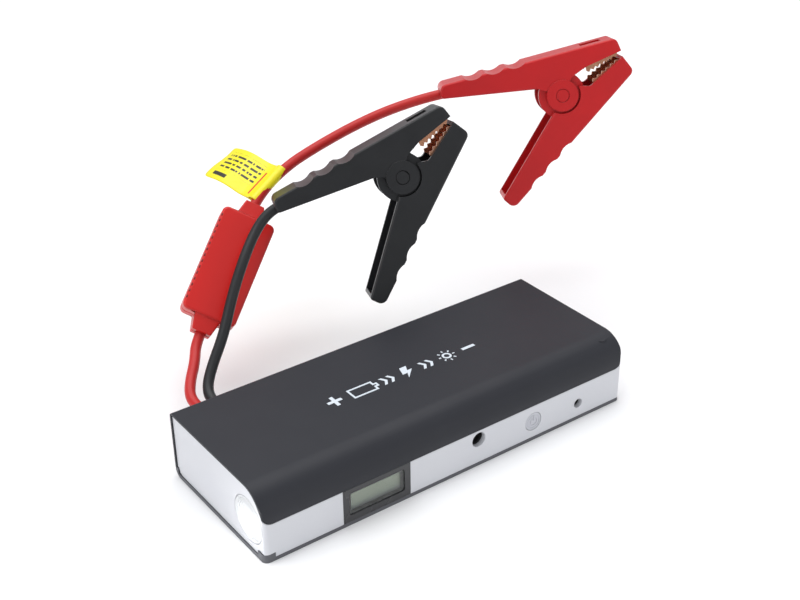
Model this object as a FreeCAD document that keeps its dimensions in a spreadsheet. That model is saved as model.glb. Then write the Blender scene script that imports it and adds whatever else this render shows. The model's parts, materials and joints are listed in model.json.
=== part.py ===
import FreeCAD, Part
import Sketcher
import math
import os
import re

from FreeCAD import Placement, Rotation, Vector

# Pocket jump starter: a battery pack with a torch end, a display, a power button and two sockets in its
# front band, and a pair of jump leads whose plug sits in the pack's rear wall. The red lead has an in-line
# protection box and a flag label, and each lead ends in a spring clamp.
# Frame: origin at the middle of the pack's underside, +X along the pack away from the torch, -Y towards the
# front band, +Z up. Millimetres.

SIZES = {
    # pack outside
    "pack_length": 168.0,
    "pack_width": 64.0,
    "pack_height": 28.5,
    "front_radius": 11.0,
    "rear_radius": 2.0,
    "corner_radius": 2.4,
    "foot_radius": 3.6,
    "seam_height": 16.0,
    "seam_round": 4.5,
    "rear_seam": 4.0,
    "wall_thick": 2.0,
    "rim_thick": 1.0,
    "end_inset": 0.5,
    "end_seat": 2.7,
    "part_gap": 0.1,
    "tray_lip": 1.5,
    "heel_height": 3.4,
    "heel_length": 4.5,
    # torch
    "torch_y": -21.7,
    "torch_z": 13.1,
    "torch_radius": 9.2,
    "lens_thick": 1.8,
    "reflector_depth": 7.0,
    "reflector_mouth": 7.5,
    "reflector_throat": 3.0,
    "reflector_wall": 0.7,
    "led_side": 3.4,
    # display
    "bezel_left": -51.2,
    "bezel_right": -21.9,
    "bezel_thick": 1.2,
    "window_left": -48.5,
    "window_right": -24.4,
    "window_bottom": 4.2,
    "window_top": 13.8,
    "window_round": 0.9,
    "pane_thick": 0.8,
    "glass_thick": 1.1,
    "display_margin": 1.2,
    # button
    "button_x": 37.1,
    "button_z": 8.8,
    "button_radius": 3.85,
    "button_clearance": 0.15,
    "button_travel": 0.6,
    "button_flange": 4.9,
    "flange_thick": 0.8,
    "stem_radius": 1.4,
    "ring_radius": 3.0,
    "sign_radius": 1.75,
    "sign_line": 0.35,
    "switch_side": 6.0,
    # sockets in the front band
    "output_x": 10.0,
    "output_z": 11.9,
    "output_radius": 3.1,
    "output_bore": 2.75,
    "output_depth": 10.0,
    "output_pin": 1.05,
    "charge_x": 60.5,
    "charge_z": 7.6,
    "charge_radius": 2.05,
    "charge_bore": 1.75,
    "charge_depth": 8.0,
    "charge_pin": 0.55,
    # inside
    "board_thick": 1.6,
    "board_level": 2.6,
    "board_left": -52.0,
    "board_length": 124.0,
    "board_front": -27.0,
    "board_width": 12.0,
    "cell_left": -44.0,
    "cell_front": -13.5,
    "cell_level": 2.3,
    "cell_length": 118.0,
    "cell_width": 42.0,
    "cell_thick": 6.4,
    "cell_gap": 0.4,
    "foam_thick": 3.4,
    "post_radius": 2.8,
    "post_height": 5.0,
    "screw_radius": 1.25,
    "screw_head": 2.3,
    "screw_length": 14.0,
    # jump socket and plug
    "socket_x": -60.2,
    "socket_z": 13.0,
    "socket_width": 22.0,
    "socket_height": 13.0,
    "socket_depth": 20.0,
    "pole_pitch": 6.4,
    "pole_radius": 2.3,
    "plug_width": 18.6,
    "plug_height": 9.6,
    "plug_reach": 12.0,
    "plug_tail": 5.7,
    "boot_radius": 2.9,
    "boot_end": 42.0,
    # leads
    "lead_diameter": 4.4,
    "box_length": 47.0,
    "box_width": 23.0,
    "box_thick": 11.0,
    "box_wall": 1.4,
    "neck_length": 6.3,
    "neck_width": 11.0,
    "vent_count": 15,
    "vent_pitch": 2.7,
    "label_width": 19.0,
    "label_reach": 31.0,
    "label_thick": 0.5,
    # where each clamp's pivot is, and how the clamp is turned, leant back and rolled
    "red_clamp_x": 130.7,
    "red_clamp_y": 62.3,
    "red_clamp_z": 92.3,
    "red_clamp_turn": -33.0,
    "red_clamp_lean": 13.5,
    "red_clamp_roll": 31.0,
    "black_clamp_x": 43.2,
    "black_clamp_y": 62.4,
    "black_clamp_z": 77.0,
    "black_clamp_turn": -26.0,
    "black_clamp_lean": 17.0,
    "black_clamp_roll": 42.3,
    # clamps
    "clamp_width": 17.0,
    "clamp_plate": 1.8,
    "clamp_spread": 17.5,
    "arm_back": -51.0,
    "arm_front": 29.1,
    "jaw_rake": 1.2,
    "disc_radius": 6.9,
    "disc_proud": 0.4,
    "recess_radius": 7.9,
    "boss_radius": 10.2,
    "boss_inner": 4.7,
    "lap_gap": 0.25,
    "pin_radius": 2.4,
    "pin_head": 2.8,
    "pin_running": 0.06,
    "tooth_pitch": 2.3,
    "tooth_height": 1.0,
    "copper_thick": 0.8,
    "spring_wire": 1.0,
    "spring_inner": 3.0,
}

doc = FreeCAD.newDocument("JumpStarter")
sheet = doc.addObject("Spreadsheet::Sheet", "Sizes")
for row, (alias, value) in enumerate(SIZES.items(), start=1):
    sheet.set(f"A{row}", alias)
    sheet.set(f"B{row}", str(value))
    sheet.setAlias(f"B{row}", alias)
doc.recompute()

NODES = []


def size(alias):
    """Value of one driving dimension."""
    return float(sheet.get(alias))


def formula(text):
    """Turns every sheet alias in a formula into a reference to its cell."""
    return re.sub(r"\b([a-z]+(?:_[a-z]+)+)\b", r"Sizes.\1", text)


def bind(thing, formulas):
    """Ties properties of a document object to formulas over the sheet."""
    for path, text in formulas.items():
        thing.setExpression(path, formula(text))


def node(thing, label):
    """Marks a document object as one finished piece and names it."""
    thing.Label = label
    NODES.append(thing)
    return thing


def at(x, y, z):
    return {"Placement.Base.x": x, "Placement.Base.y": y, "Placement.Base.z": z}


ALONG_X = Rotation(Vector(0, 1, 0), 90)
ALONG_Y = Rotation(Vector(1, 0, 0), -90)
ALONG_Z = Rotation()


def box(name, corner, length, width, height):
    """A Part box from its lowest corner and its three sides, all formulas."""
    solid = doc.addObject("Part::Box", name)
    bind(solid, {**at(*corner), "Length": length, "Width": width, "Height": height})
    return solid


def cylinder(name, base, radius, height, along=ALONG_Y):
    """A Part cylinder from the middle of its first face."""
    solid = doc.addObject("Part::Cylinder", name)
    solid.Placement = Placement(Vector(), along)
    bind(solid, {**at(*base), "Radius": radius, "Height": height})
    return solid


def cone(name, base, first_radius, last_radius, height, along=ALONG_Y):
    solid = doc.addObject("Part::Cone", name)
    solid.Placement = Placement(Vector(), along)
    bind(solid, {**at(*base), "Radius1": first_radius, "Radius2": last_radius, "Height": height})
    return solid


def fuse(name, pieces):
    joined = doc.addObject("Part::MultiFuse", name)
    joined.Shapes = pieces
    return joined


def cut(name, base, tools):
    """The base with every tool taken away."""
    tool = tools[0] if len(tools) == 1 else fuse(name + "_tools", tools)
    result = doc.addObject("Part::Cut", name)
    result.Base = base
    result.Tool = tool
    return result


def group(name, pieces):
    """Separate solids kept as one node, such as a set of screws."""
    together = doc.addObject("Part::Compound", name)
    together.Links = pieces
    return together


# PartDesign helpers: a body is built from added and taken-away blocks, cylinders, pads and fillets.


def make_body(name):
    body = doc.addObject("PartDesign::Body", name)
    return node(body, name)


def feature(body, kind, name, formulas, rotation=ALONG_Z):
    """One primitive feature of a body, placed and sized by formulas."""
    primitive = body.newObject("PartDesign::" + kind, name)
    primitive.Placement = Placement(Vector(), rotation)
    bind(primitive, formulas)
    doc.recompute()
    return primitive


def block(body, kind, name, corner, length, width, height):
    formulas = {**at(*corner), "Length": length, "Width": width, "Height": height}
    return feature(body, kind + "Box", name, formulas)


def drum(body, kind, name, base, radius, height, along=ALONG_Y):
    formulas = {**at(*base), "Radius": radius, "Height": height}
    return feature(body, kind + "Cylinder", name, formulas, along)


def edge_names(shape, wanted):
    """Names of the edges whose middle point and direction pass a test."""
    names = []
    for number, edge in enumerate(shape.Edges, start=1):
        middle = edge.valueAt((edge.FirstParameter + edge.LastParameter) / 2)
        direction = edge.tangentAt((edge.FirstParameter + edge.LastParameter) / 2)
        if wanted(middle, direction):
            names.append(f"Edge{number}")
    return names


def round_edges(body, name, radius, wanted):
    """A fillet on the edges of the body's tip that pass the test."""
    base = body.Tip
    fillet = body.newObject("PartDesign::Fillet", name)
    fillet.Base = (base, edge_names(base.Shape, wanted))
    bind(fillet, {"Radius": radius})
    doc.recompute()
    return fillet


def origin_plane(body, role):
    return next(item for item in body.Origin.OriginFeatures if item.Role == role)


def rectangle_sketch(body, name, role, left, low, width, height):
    """A rectangle on one of the body's origin planes, with its four sizes bound to the sheet."""
    sketch = body.newObject("Sketcher::SketchObject", name)
    sketch.AttachmentSupport = (origin_plane(body, role), [""])
    sketch.MapMode = "FlatFace"
    corners = [Vector(-2, 1, 0), Vector(5, 1, 0), Vector(5, 4, 0), Vector(-2, 4, 0)]
    for start, end in zip(corners, corners[1:] + corners[:1]):
        sketch.addGeometry(Part.LineSegment(start, end))
    for line in range(4):
        sketch.addConstraint(Sketcher.Constraint("Coincident", line, 2, (line + 1) % 4, 1))
    for line, kind in enumerate(("Horizontal", "Vertical", "Horizontal", "Vertical")):
        sketch.addConstraint(Sketcher.Constraint(kind, line))
    measures = {
        "left": ("DistanceX", -1, 1, 0, 1, left),
        "low": ("DistanceY", -1, 1, 0, 1, low),
        "width": ("DistanceX", 0, 1, 0, 2, width),
        "height": ("DistanceY", 1, 1, 1, 2, height),
    }
    for label, (kind, first, first_point, second, second_point, text) in measures.items():
        start_value = {"left": -2, "low": 1, "width": 7, "height": 3}[label]
        constraint = Sketcher.Constraint(kind, first, first_point, second, second_point, start_value)
        index = sketch.addConstraint(constraint)
        sketch.renameConstraint(index, label)
        sketch.setExpression("Constraints." + label, formula(text))
    doc.recompute()
    return sketch


def pad(body, name, sketch, length, both_ways=False, backwards=False):
    extrusion = body.newObject("PartDesign::Pad", name)
    extrusion.Profile = sketch
    extrusion.Midplane = both_ways
    extrusion.Reversed = backwards
    bind(extrusion, {"Length": length})
    doc.recompute()
    return extrusion


# ---- Pack: shell, tray and side frame ----


def corner_tools(name):
    """Two upright tools that round the front corners of a pack moulding in plan."""
    tools = []
    for end, across in (("left", "-pack_length / 2 - 1"), ("right", "pack_length / 2 - corner_radius")):
        base = (across, "-pack_width / 2 - 1", "-1")
        side = "corner_radius + 1"
        waste = box(f"{name}_{end}_waste", base, side, side, "pack_height + 2")
        inner = "-pack_length / 2 + corner_radius"
        if end == "right":
            inner = "pack_length / 2 - corner_radius"
        round_base = (inner, "-pack_width / 2 + corner_radius", "-2")
        kept = cylinder(f"{name}_{end}_round", round_base, "corner_radius", "pack_height + 4", ALONG_Z)
        tools.append(cut(f"{name}_{end}_corner", waste, [kept]))
    return tools


def seam_corner(name, end, spare):
    """The round bar that the shell's lower front corner follows at one end, and the block it is cut from."""
    if end == "left":
        middle, start = "-pack_length / 2 + seam_round", "-pack_length / 2 - 1"
    else:
        middle, start = "pack_length / 2 - seam_round", "pack_length / 2 - seam_round"
    centre = (middle, "-pack_width / 2 - 3", "seam_height + seam_round")
    bar = cylinder(f"{name}_{end}_seam_bar", centre, f"seam_round + {spare}", "wall_thick + 6")
    corner = (start, "-pack_width / 2 - 1", "seam_height - 1")
    return bar, corner, "seam_round + 1", "seam_round + 1"


POSTS = (
    ("-pack_length / 2 + 6", "pack_width / 2 - 6"),
    ("-pack_length / 2 + 22", "-pack_width / 2 + 10"),
    ("pack_length / 2 - 6", "pack_width / 2 - 6"),
    ("pack_length / 2 - 6", "-pack_width / 2 + 8"),
)


def rounded_bar(name, start, length, margin, low):
    """A bar along X with the pack's section, smaller by a margin, with the large front round."""
    body = doc.addObject("PartDesign::Body", name)
    width = f"pack_width - 2 * ({margin})"
    height = f"pack_height - ({margin}) - ({low})"
    front = f"-pack_width / 2 + ({margin})"
    section = rectangle_sketch(body, name + "_section", "YZ_Plane", front, low, width, height)
    pad(body, name + "_pad", section, length)
    top_front = f"front_radius - ({margin})"
    round_edges(body, name + "_front", top_front, lambda m, d: abs(d.x) > 0.9 and m.y < 0 and m.z > 20)
    bind(body, {"Placement.Base.x": start})
    return body


def make_top_shell():
    """Top, rounded front and rear wall in one moulding, open at both ends."""
    outside = rounded_bar("shell_outside", "-pack_length / 2", "pack_length", "0", "rear_seam")
    round_edges(outside, "rear_round", "rear_radius", lambda m, d: abs(d.x) > 0.9 and m.y > 30 and m.z > 20)
    hollow_start = "-pack_length / 2 - 1"
    hollow = rounded_bar("shell_hollow", hollow_start, "pack_length + 2", "wall_thick", "rear_seam - 1")
    tools = [hollow]
    for end, start in (("left", "-pack_length / 2 - 1"), ("right", "pack_length / 2 - end_seat")):
        tools.append(rounded_bar(f"shell_{end}_seat", start, "end_seat + 1", "rim_thick", "rear_seam - 1"))
    low_corner = ("-pack_length / 2 - 1", "-pack_width / 2 - 1", "rear_seam - 1")
    front_height = "seam_height - rear_seam + 1"
    tools.append(box("shell_front_cut", low_corner, "pack_length + 2", "wall_thick + 2", front_height))
    opening_corner = (
        "socket_x - socket_width / 2 - part_gap", "pack_width / 2 - wall_thick - 1",
        "socket_z - socket_height / 2 - part_gap",
    )
    opening_width = "socket_width + 2 * part_gap"
    opening_height = "socket_height + 2 * part_gap"
    tools.append(box("socket_opening", opening_corner, opening_width, "wall_thick + 2", opening_height))
    for end in ("left", "right"):
        bar, corner, length, height = seam_corner("shell", end, "0")
        waste = box(f"shell_{end}_seam_block", corner, length, "wall_thick + 1.8", height)
        tools.append(cut(f"shell_{end}_seam_waste", waste, [bar]))
    skin = cut("shell_skin", outside, tools + corner_tools("shell"))
    bosses = []
    holes = []
    foot = "tray_lip + post_height + part_gap"
    for number, (x, y) in enumerate(POSTS, start=1):
        height = f"pack_height - wall_thick / 2 - ({foot})"
        middle = (x, y, foot)
        bosses.append(cylinder(f"boss_{number}", middle, "post_radius", height, ALONG_Z))
        holes.append(cylinder(f"boss_hole_{number}", middle, "screw_radius + 0.02", "screw_length", ALONG_Z))
    node(cut("top_shell", fuse("bossed_shell", [skin] + bosses), holes), "top_shell")


def make_bottom_tray():
    """Flat tray with a rounded rear edge, a raised heel under the torch corner and screw posts."""
    body = doc.addObject("PartDesign::Body", "bottom_tray_moulding")
    corner = ("-pack_length / 2", "-pack_width / 2", "0")
    block(body, "Additive", "floor_plate", corner, "pack_length", "pack_width", "tray_lip")
    rear_corner = ("-pack_length / 2", "pack_width / 2 - wall_thick", "0")
    block(body, "Additive", "rear_upstand", rear_corner, "pack_length", "wall_thick", "rear_seam - part_gap")
    heel_corner = ("-pack_length / 2", "-pack_width / 2", "0")
    block(body, "Additive", "heel", heel_corner, "heel_length", "heel_length", "heel_height")
    rear_foot = "foot_radius"
    round_edges(body, "rear_foot_round", rear_foot, lambda m, d: abs(d.x) > 0.9 and m.y > 31 and m.z < 0.1)
    for number, (x, y) in enumerate(POSTS, start=1):
        post_top = "tray_lip + post_height"
        drum(body, "Additive", f"post_{number}", (x, y, "0"), "post_radius", post_top, ALONG_Z)
        drum(body, "Subtractive", f"post_hole_{number}", (x, y, "0"), "screw_radius + 0.1", "20", ALONG_Z)
        drum(body, "Subtractive", f"post_sink_{number}", (x, y, "0"), "screw_head + 0.2", "tray_lip", ALONG_Z)
    node(cut("bottom_tray", body, corner_tools("tray")), "bottom_tray")


def make_side_frame():
    """Light frame in one moulding: the front band and both end plates."""
    low = "tray_lip + part_gap"
    band_corner = ("-pack_length / 2 + end_inset", "-pack_width / 2", low)
    band_height = "seam_height - tray_lip - 2 * part_gap"
    pieces = [box("front_band", band_corner, "pack_length - 2 * end_inset", "wall_thick", band_height)]
    tools = corner_tools("frame")
    ends = (
        ("left", "-pack_length / 2 + end_inset", "-pack_length / 2 + end_inset"),
        ("right", "pack_length / 2 - end_inset - wall_thick", "pack_length / 2 - seam_round"),
    )
    for end, start, fill_start in ends:
        pieces.append(rounded_bar(f"{end}_plate", start, "wall_thick", "rim_thick + part_gap", low))
        fill_length = "seam_round - end_inset"
        fill_bar = rounded_bar(f"{end}_fill_bar", fill_start, fill_length, "0", "seam_height - 1")
        bar, corner, length, height = seam_corner("frame", end, "part_gap")
        fill_block = box(f"{end}_fill_block", corner, length, "wall_thick + 1", height)
        fill = doc.addObject("Part::MultiCommon", f"{end}_fill_form")
        fill.Shapes = [fill_bar, fill_block]
        pieces.append(cut(f"{end}_seam_fill", fill, [bar]))
        notch_corner = (start + " - 1", "pack_width / 2 - wall_thick - part_gap", "0")
        across = "wall_thick + 2"
        tools.append(box(f"{end}_notch", notch_corner, across, across, "rear_seam + part_gap"))
        turn = "foot_radius - 1.2"
        turn_y = f"pack_width / 2 - wall_thick - part_gap - ({turn})"
        waste = box(f"{end}_foot_waste", (start + " - 1", turn_y, "0"), across, across, f"{low} + {turn}")
        kept_base = (start + " - 2", turn_y, f"{low} + {turn}")
        kept = cylinder(f"{end}_foot_round", kept_base, turn, "wall_thick + 4", ALONG_X)
        tools.append(cut(f"{end}_foot_corner", waste, [kept]))
    heel_side = "heel_length + part_gap + 1"
    heel_corner = ("-pack_length / 2 - 1", "-pack_width / 2 - 1", "0")
    tools.append(box("heel_cut", heel_corner, heel_side, heel_side, "heel_height + part_gap"))
    seat_corner = ("bezel_left - part_gap", "-pack_width / 2 - 1", "0")
    bezel_width = "bezel_right - bezel_left + 2 * part_gap"
    tools.append(box("bezel_seat", seat_corner, bezel_width, "bezel_thick + 1 + part_gap", "seam_height"))
    opening_corner = ("window_left - part_gap", "-pack_width / 2", "window_bottom - part_gap")
    opening_width = "window_right - window_left + 2 * part_gap"
    opening_height = "window_top - window_bottom + 2 * part_gap"
    tools.append(box("display_opening", opening_corner, opening_width, "wall_thick + 1", opening_height))
    front = "-pack_width / 2 - 1"
    depth = "wall_thick + 2"
    tools.append(cylinder("output_hole", ("output_x", front, "output_z"), "output_radius", depth))
    tools.append(cylinder("charge_hole", ("charge_x", front, "charge_z"), "charge_radius", depth))
    button_hole = "button_radius + button_clearance"
    tools.append(cylinder("button_hole", ("button_x", front, "button_z"), button_hole, depth))
    torch_base = ("-pack_length / 2 - 1", "torch_y", "torch_z")
    tools.append(cylinder("torch_hole", torch_base, "torch_radius + part_gap", "wall_thick + 2", ALONG_X))
    node(cut("side_frame", fuse("frame_blank", pieces), tools), "side_frame")


# ---- Torch ----


def make_torch():
    """Lens, reflector cup, light-emitting diode and its board, behind the left end plate."""
    outer_face = "-pack_length / 2 + end_inset"
    lens = cylinder("torch_lens", (outer_face, "torch_y", "torch_z"), "torch_radius", "lens_thick", ALONG_X)
    node(lens, "torch_lens")
    mouth = outer_face + " + wall_thick + part_gap"
    base = (mouth, "torch_y", "torch_z")
    outside = cone(
        "reflector_outside", base, "reflector_mouth + reflector_wall", "reflector_throat + reflector_wall",
        "reflector_depth", ALONG_X,
    )
    inside = cone("reflector_inside", base, "reflector_mouth", "reflector_throat", "reflector_depth", ALONG_X)
    node(cut("torch_reflector", outside, [inside]), "torch_reflector")
    back = mouth + " + reflector_depth + part_gap"
    board_corner = (back, "torch_y - 6", "torch_z - 6")
    node(box("torch_board", board_corner, "board_thick", "12", "12"), "torch_board")
    led_corner = (back + " - 1.2", "torch_y - led_side / 2", "torch_z - led_side / 2")
    node(box("torch_led", led_corner, "1.2", "led_side", "led_side"), "torch_led")


# ---- Display ----


def make_display():
    """Bezel set in the band, clear window, glass cell and its backlight."""
    bezel = make_body("display_bezel")
    front = "-pack_width / 2"
    low = "tray_lip + part_gap"
    height = "seam_height - tray_lip - 2 * part_gap"
    bezel_width = "bezel_right - bezel_left"
    block(bezel, "Additive", "bezel_plate", ("bezel_left", front, low), bezel_width, "bezel_thick", height)
    window_width = "window_right - window_left"
    window_height = "window_top - window_bottom"
    corner = ("window_left", front + " - 1", "window_bottom")
    block(bezel, "Subtractive", "bezel_window", corner, window_width, "bezel_thick + 2", window_height)
    first = size("window_left") - 1
    last = size("window_right") + 1
    round_edges(bezel, "window_rounds", "window_round", lambda m, d: abs(d.y) > 0.9 and first < m.x < last)
    pane = make_body("display_window")
    pane_corner = ("window_left + part_gap", front + " + 0.35", "window_bottom + part_gap")
    pane_width = window_width + " - 2 * part_gap"
    pane_height = window_height + " - 2 * part_gap"
    block(pane, "Additive", "pane_plate", pane_corner, pane_width, "pane_thick", pane_height)
    round_edges(pane, "pane_rounds", "window_round", lambda m, d: abs(d.y) > 0.9)
    glass_front = front + " + wall_thick + part_gap"
    glass_corner = ("window_left - display_margin", glass_front, "window_bottom - display_margin")
    glass_width = window_width + " + 2 * display_margin"
    glass_height = window_height + " + 2 * display_margin"
    node(box("display_glass", glass_corner, glass_width, "glass_thick", glass_height), "display_glass")
    light_corner = (glass_corner[0], glass_front + " + glass_thick + part_gap", glass_corner[2])
    node(box("display_backlight", light_corner, glass_width, "1.4", glass_height), "display_backlight")


# ---- Power button and switch ----


def make_button():
    """Button cap with a retaining flange, a stem, and a ring and power sign sunk in its face."""
    body = doc.addObject("PartDesign::Body", "power_button_moulding")
    face = ("button_x", "-pack_width / 2", "button_z")
    drum(body, "Additive", "cap", face, "button_radius", "wall_thick + 0.9")
    flange = ("button_x", "-pack_width / 2 + wall_thick + 0.2", "button_z")
    drum(body, "Additive", "flange", flange, "button_flange", "flange_thick")
    stem = ("button_x", "-pack_width / 2 + wall_thick + 0.5", "button_z")
    drum(body, "Additive", "stem", stem, "stem_radius", "1.5")
    round_edges(body, "cap_round", "0.35", lambda m, d: m.y < -31.9)
    tools = []
    start = ("button_x", "-pack_width / 2 - 1", "button_z")
    for name, radius, depth in (("rim", "ring_radius", "1.2"), ("sign", "sign_radius", "1.25")):
        ring = cylinder(f"{name}_outer", start, radius, depth)
        core = cylinder(f"{name}_inner", start, radius + " - sign_line", depth)
        tools.append(cut(f"{name}_groove", ring, [core]))
    gap = box("sign_gap", ("button_x - 0.55", "-pack_width / 2 - 1", "button_z"), "1.1", "2", "2.4")
    bar_corner = ("button_x - sign_line / 2", "-pack_width / 2 - 1", "button_z + 0.3")
    bar = box("sign_bar", bar_corner, "sign_line", "1.25", "2")
    tools[1] = cut("sign_arc", tools[1], [gap])
    node(cut("power_button", body, tools + [bar]), "power_button")
    switch_back = "-pack_width / 2 + wall_thick + 2.9"
    base = ("button_x - switch_side / 2", switch_back, "board_level + board_thick + part_gap")
    case_height = "button_z + switch_side / 2 - board_level - board_thick - part_gap"
    case = box("switch_case", base, "switch_side", "3.4", case_height)
    plunger = cylinder("switch_plunger", ("button_x", switch_back + " - 0.2", "button_z"), "1.5", "0.3")
    node(fuse("power_switch", [case, plunger]), "power_switch")


# ---- Sockets in the front band ----


def make_barrel_socket(name, half_width, top):
    """A round socket block behind the band, with its centre pin."""
    body = make_body(name + "_socket")
    x = name + "_x"
    z = name + "_z"
    depth = name + "_depth"
    front = "-pack_width / 2 + wall_thick + part_gap"
    corner = (f"{x} - {half_width}", front, "board_level + board_thick + part_gap")
    height = f"{top} - board_level - board_thick"
    block(body, "Additive", name + "_block", corner, f"2 * {half_width}", f"{depth} + 3", height)
    drum(body, "Subtractive", name + "_bore", (x, front + " - 1", z), name + "_bore", f"{depth} + 1")
    pin_start = f"{front} + 1.4"
    pin = cylinder(name + "_pin", (x, pin_start, z), name + "_pin", f"{depth} - 1.4")
    node(pin, name + "_pin")


# ---- Board, cells and screws ----


def make_inside():
    """Circuit board, three pouch cells, a foam pad and the case screws."""
    board_corner = ("board_left", "board_front", "board_level")
    board = box("circuit_board", board_corner, "board_length", "board_width", "board_thick")
    node(board, "circuit_board")
    for number in range(3):
        level = f"cell_level + {number} * (cell_thick + cell_gap)"
        cell = make_body(f"battery_cell_{number + 1}")
        corner = ("cell_left", "cell_front", level)
        block(cell, "Additive", f"pouch_{number + 1}", corner, "cell_length", "cell_width", "cell_thick")
        round_edges(cell, f"pouch_round_{number + 1}", "1.5", lambda m, d: abs(d.x) > 0.9)
    foam_corner = ("cell_left + 4", "cell_front + 3", "cell_level + 3 * (cell_thick + cell_gap)")
    node(box("foam_pad", foam_corner, "cell_length - 8", "cell_width - 6", "foam_thick"), "foam_pad")
    screws = []
    for number, (x, y) in enumerate(POSTS, start=1):
        head = cylinder(f"screw_head_{number}", (x, y, "0.3"), "screw_head", "tray_lip - 0.3", ALONG_Z)
        neck = (x, y, "tray_lip - 0.2")
        shank = cylinder(f"screw_shank_{number}", neck, "screw_radius", "screw_length", ALONG_Z)
        screws.append(fuse(f"screw_{number}", [head, shank]))
    node(group("case_screws", screws), "case_screws")


# ---- Jump socket and plug ----


def make_socket_and_plug():
    """Two-pole socket in the rear wall with its pins, and the leads' plug seated in it."""
    rear = "pack_width / 2"
    left = "socket_x - socket_width / 2"
    low = "socket_z - socket_height / 2"
    socket = make_body("jump_socket")
    block_corner = (left, rear + " - socket_depth", low)
    block(socket, "Additive", "socket_block", block_corner, "socket_width", "socket_depth", "socket_height")
    cavity_corner = (
        "socket_x - plug_width / 2 - 2 * part_gap", rear + " - plug_reach - part_gap",
        "socket_z - plug_height / 2 - 2 * part_gap",
    )
    cavity_width = "plug_width + 4 * part_gap"
    cavity_height = "plug_height + 4 * part_gap"
    cavity_depth = "plug_reach + 2"
    block(socket, "Subtractive", "socket_cavity", cavity_corner, cavity_width, cavity_depth, cavity_height)
    plug = make_body("lead_plug")
    nose_corner = ("socket_x - plug_width / 2", rear + " - plug_reach", "socket_z - plug_height / 2")
    block(plug, "Additive", "plug_nose", nose_corner, "plug_width", "plug_reach + 1", "plug_height")
    tail_corner = ("socket_x - plug_width / 2 - 1.2", rear + " + 0.3", "socket_z - plug_height / 2 - 1")
    block(plug, "Additive", "plug_tail", tail_corner, "plug_width + 2.4", "plug_tail", "plug_height + 2")
    round_edges(plug, "plug_tail_round", "1.6", lambda m, d: m.y > 34 and abs(d.y) > 0.9)
    pins = []
    sleeves = []
    for pole, sign in (("plus", "-"), ("minus", "+")):
        x = f"socket_x {sign} pole_pitch / 2"
        boot_start = rear + " + 0.3 + plug_tail"
        boot_length = f"boot_end - ({boot_start})"
        drum(plug, "Additive", f"boot_{pole}", (x, boot_start, "socket_z"), "boot_radius", boot_length)
        hole = (x, rear + " - plug_reach - 1", "socket_z")
        drum(plug, "Subtractive", f"contact_hole_{pole}", hole, "pole_radius + 0.6", "plug_reach - 1")
        pin_base = (x, rear + " - plug_reach - part_gap", "socket_z")
        pins.append(cylinder(f"pin_{pole}", pin_base, "pole_radius - 0.1", "plug_reach - 3"))
        sleeve_base = (x, rear + " - plug_reach + 0.5", "socket_z")
        outer = cylinder(f"sleeve_outer_{pole}", sleeve_base, "pole_radius + 0.55", "plug_reach - 2.6")
        inner = cylinder(f"sleeve_inner_{pole}", sleeve_base, "pole_radius", "plug_reach - 2.6")
        sleeves.append(cut(f"sleeve_{pole}", outer, [inner]))
    node(group("socket_pins", pins), "socket_pins")
    node(group("plug_contacts", sleeves), "plug_contacts")


# ---- Clamps ----
# A clamp is drawn in its own frame: origin on the pivot, +X along the closed jaws, +Y along the pivot pin and
# +Z towards the arm that carries the lead. Each arm is drawn with its spine along +X and turned by the spread
# angle.


def clamp_place(colour):
    """Placement of one clamp from its pivot and its three angles."""
    pivot = Vector(*(size(f"{colour}_clamp_{axis}") for axis in "xyz"))
    turn = Rotation(Vector(0, 0, 1), size(f"{colour}_clamp_turn"))
    lean = Rotation(Vector(1, 0, 0), -size(f"{colour}_clamp_lean"))
    roll = Rotation(Vector(0, 1, 0), -size(f"{colour}_clamp_roll"))
    return Placement(pivot, turn * lean * roll)


def arm_turn(upper):
    """Placement that turns an arm from its own frame into the clamp's frame."""
    if upper:
        return Placement(Vector(), Rotation(Vector(0, 1, 0), size("clamp_spread")))
    swing = Placement(Vector(), Rotation(Vector(0, 1, 0), -size("clamp_spread")))
    return swing * Placement(Vector(), Rotation(Vector(1, 0, 0), 180))


def slab(points, low, high):
    """A plate with the given outline in X and Z, between two Y levels."""
    corners = [Vector(x, low, z) for x, z in points]
    face = Part.Face(Part.makePolygon(corners + corners[:1]))
    return face.extrude(Vector(0, high - low, 0))


def peg(radius, low, high, x=0.0, z=0.0):
    """A cylinder along Y between two Y levels."""
    return Part.makeCylinder(radius, high - low, Vector(x, low, z), Vector(0, 1, 0))


def both_sides(maker):
    """The same piece made on the near side and on the far side."""
    return [maker(-1), maker(1)]


def side_peg(radius, inner, outer, sign):
    low, high = sorted((sign * inner, sign * outer))
    return peg(radius, low, high)


class ArmForm:
    """Outline of one arm in its own frame: spine height and the points of its open side."""

    def __init__(self, spine, back_low, root, throat, jaw_root, jaw_tip):
        self.spine = spine
        self.back_low = back_low
        self.root = root
        self.throat = throat
        self.jaw_root = jaw_root
        self.jaw_tip = jaw_tip

    def outline(self):
        """Corners from the handle's end round the spine to the jaw and back by the pivot."""
        back = size("arm_back")
        front = size("arm_front") - size("jaw_rake")
        return [
            (back, self.back_low), (back, self.spine), (front, self.spine), self.jaw_tip,
            self.jaw_root, self.throat, (0.0, 0.0), self.root,
        ]

    def rounds(self):
        """Corners of the outline that are rounded, with their radii."""
        back = size("arm_back")
        front = size("arm_front") - size("jaw_rake")
        return [
            (back, self.back_low, 1.2), (back, self.spine, 3.0), (front, self.spine, 2.6),
            (*self.jaw_root, 2.0), (*self.throat, 2.4),
        ]


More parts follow.
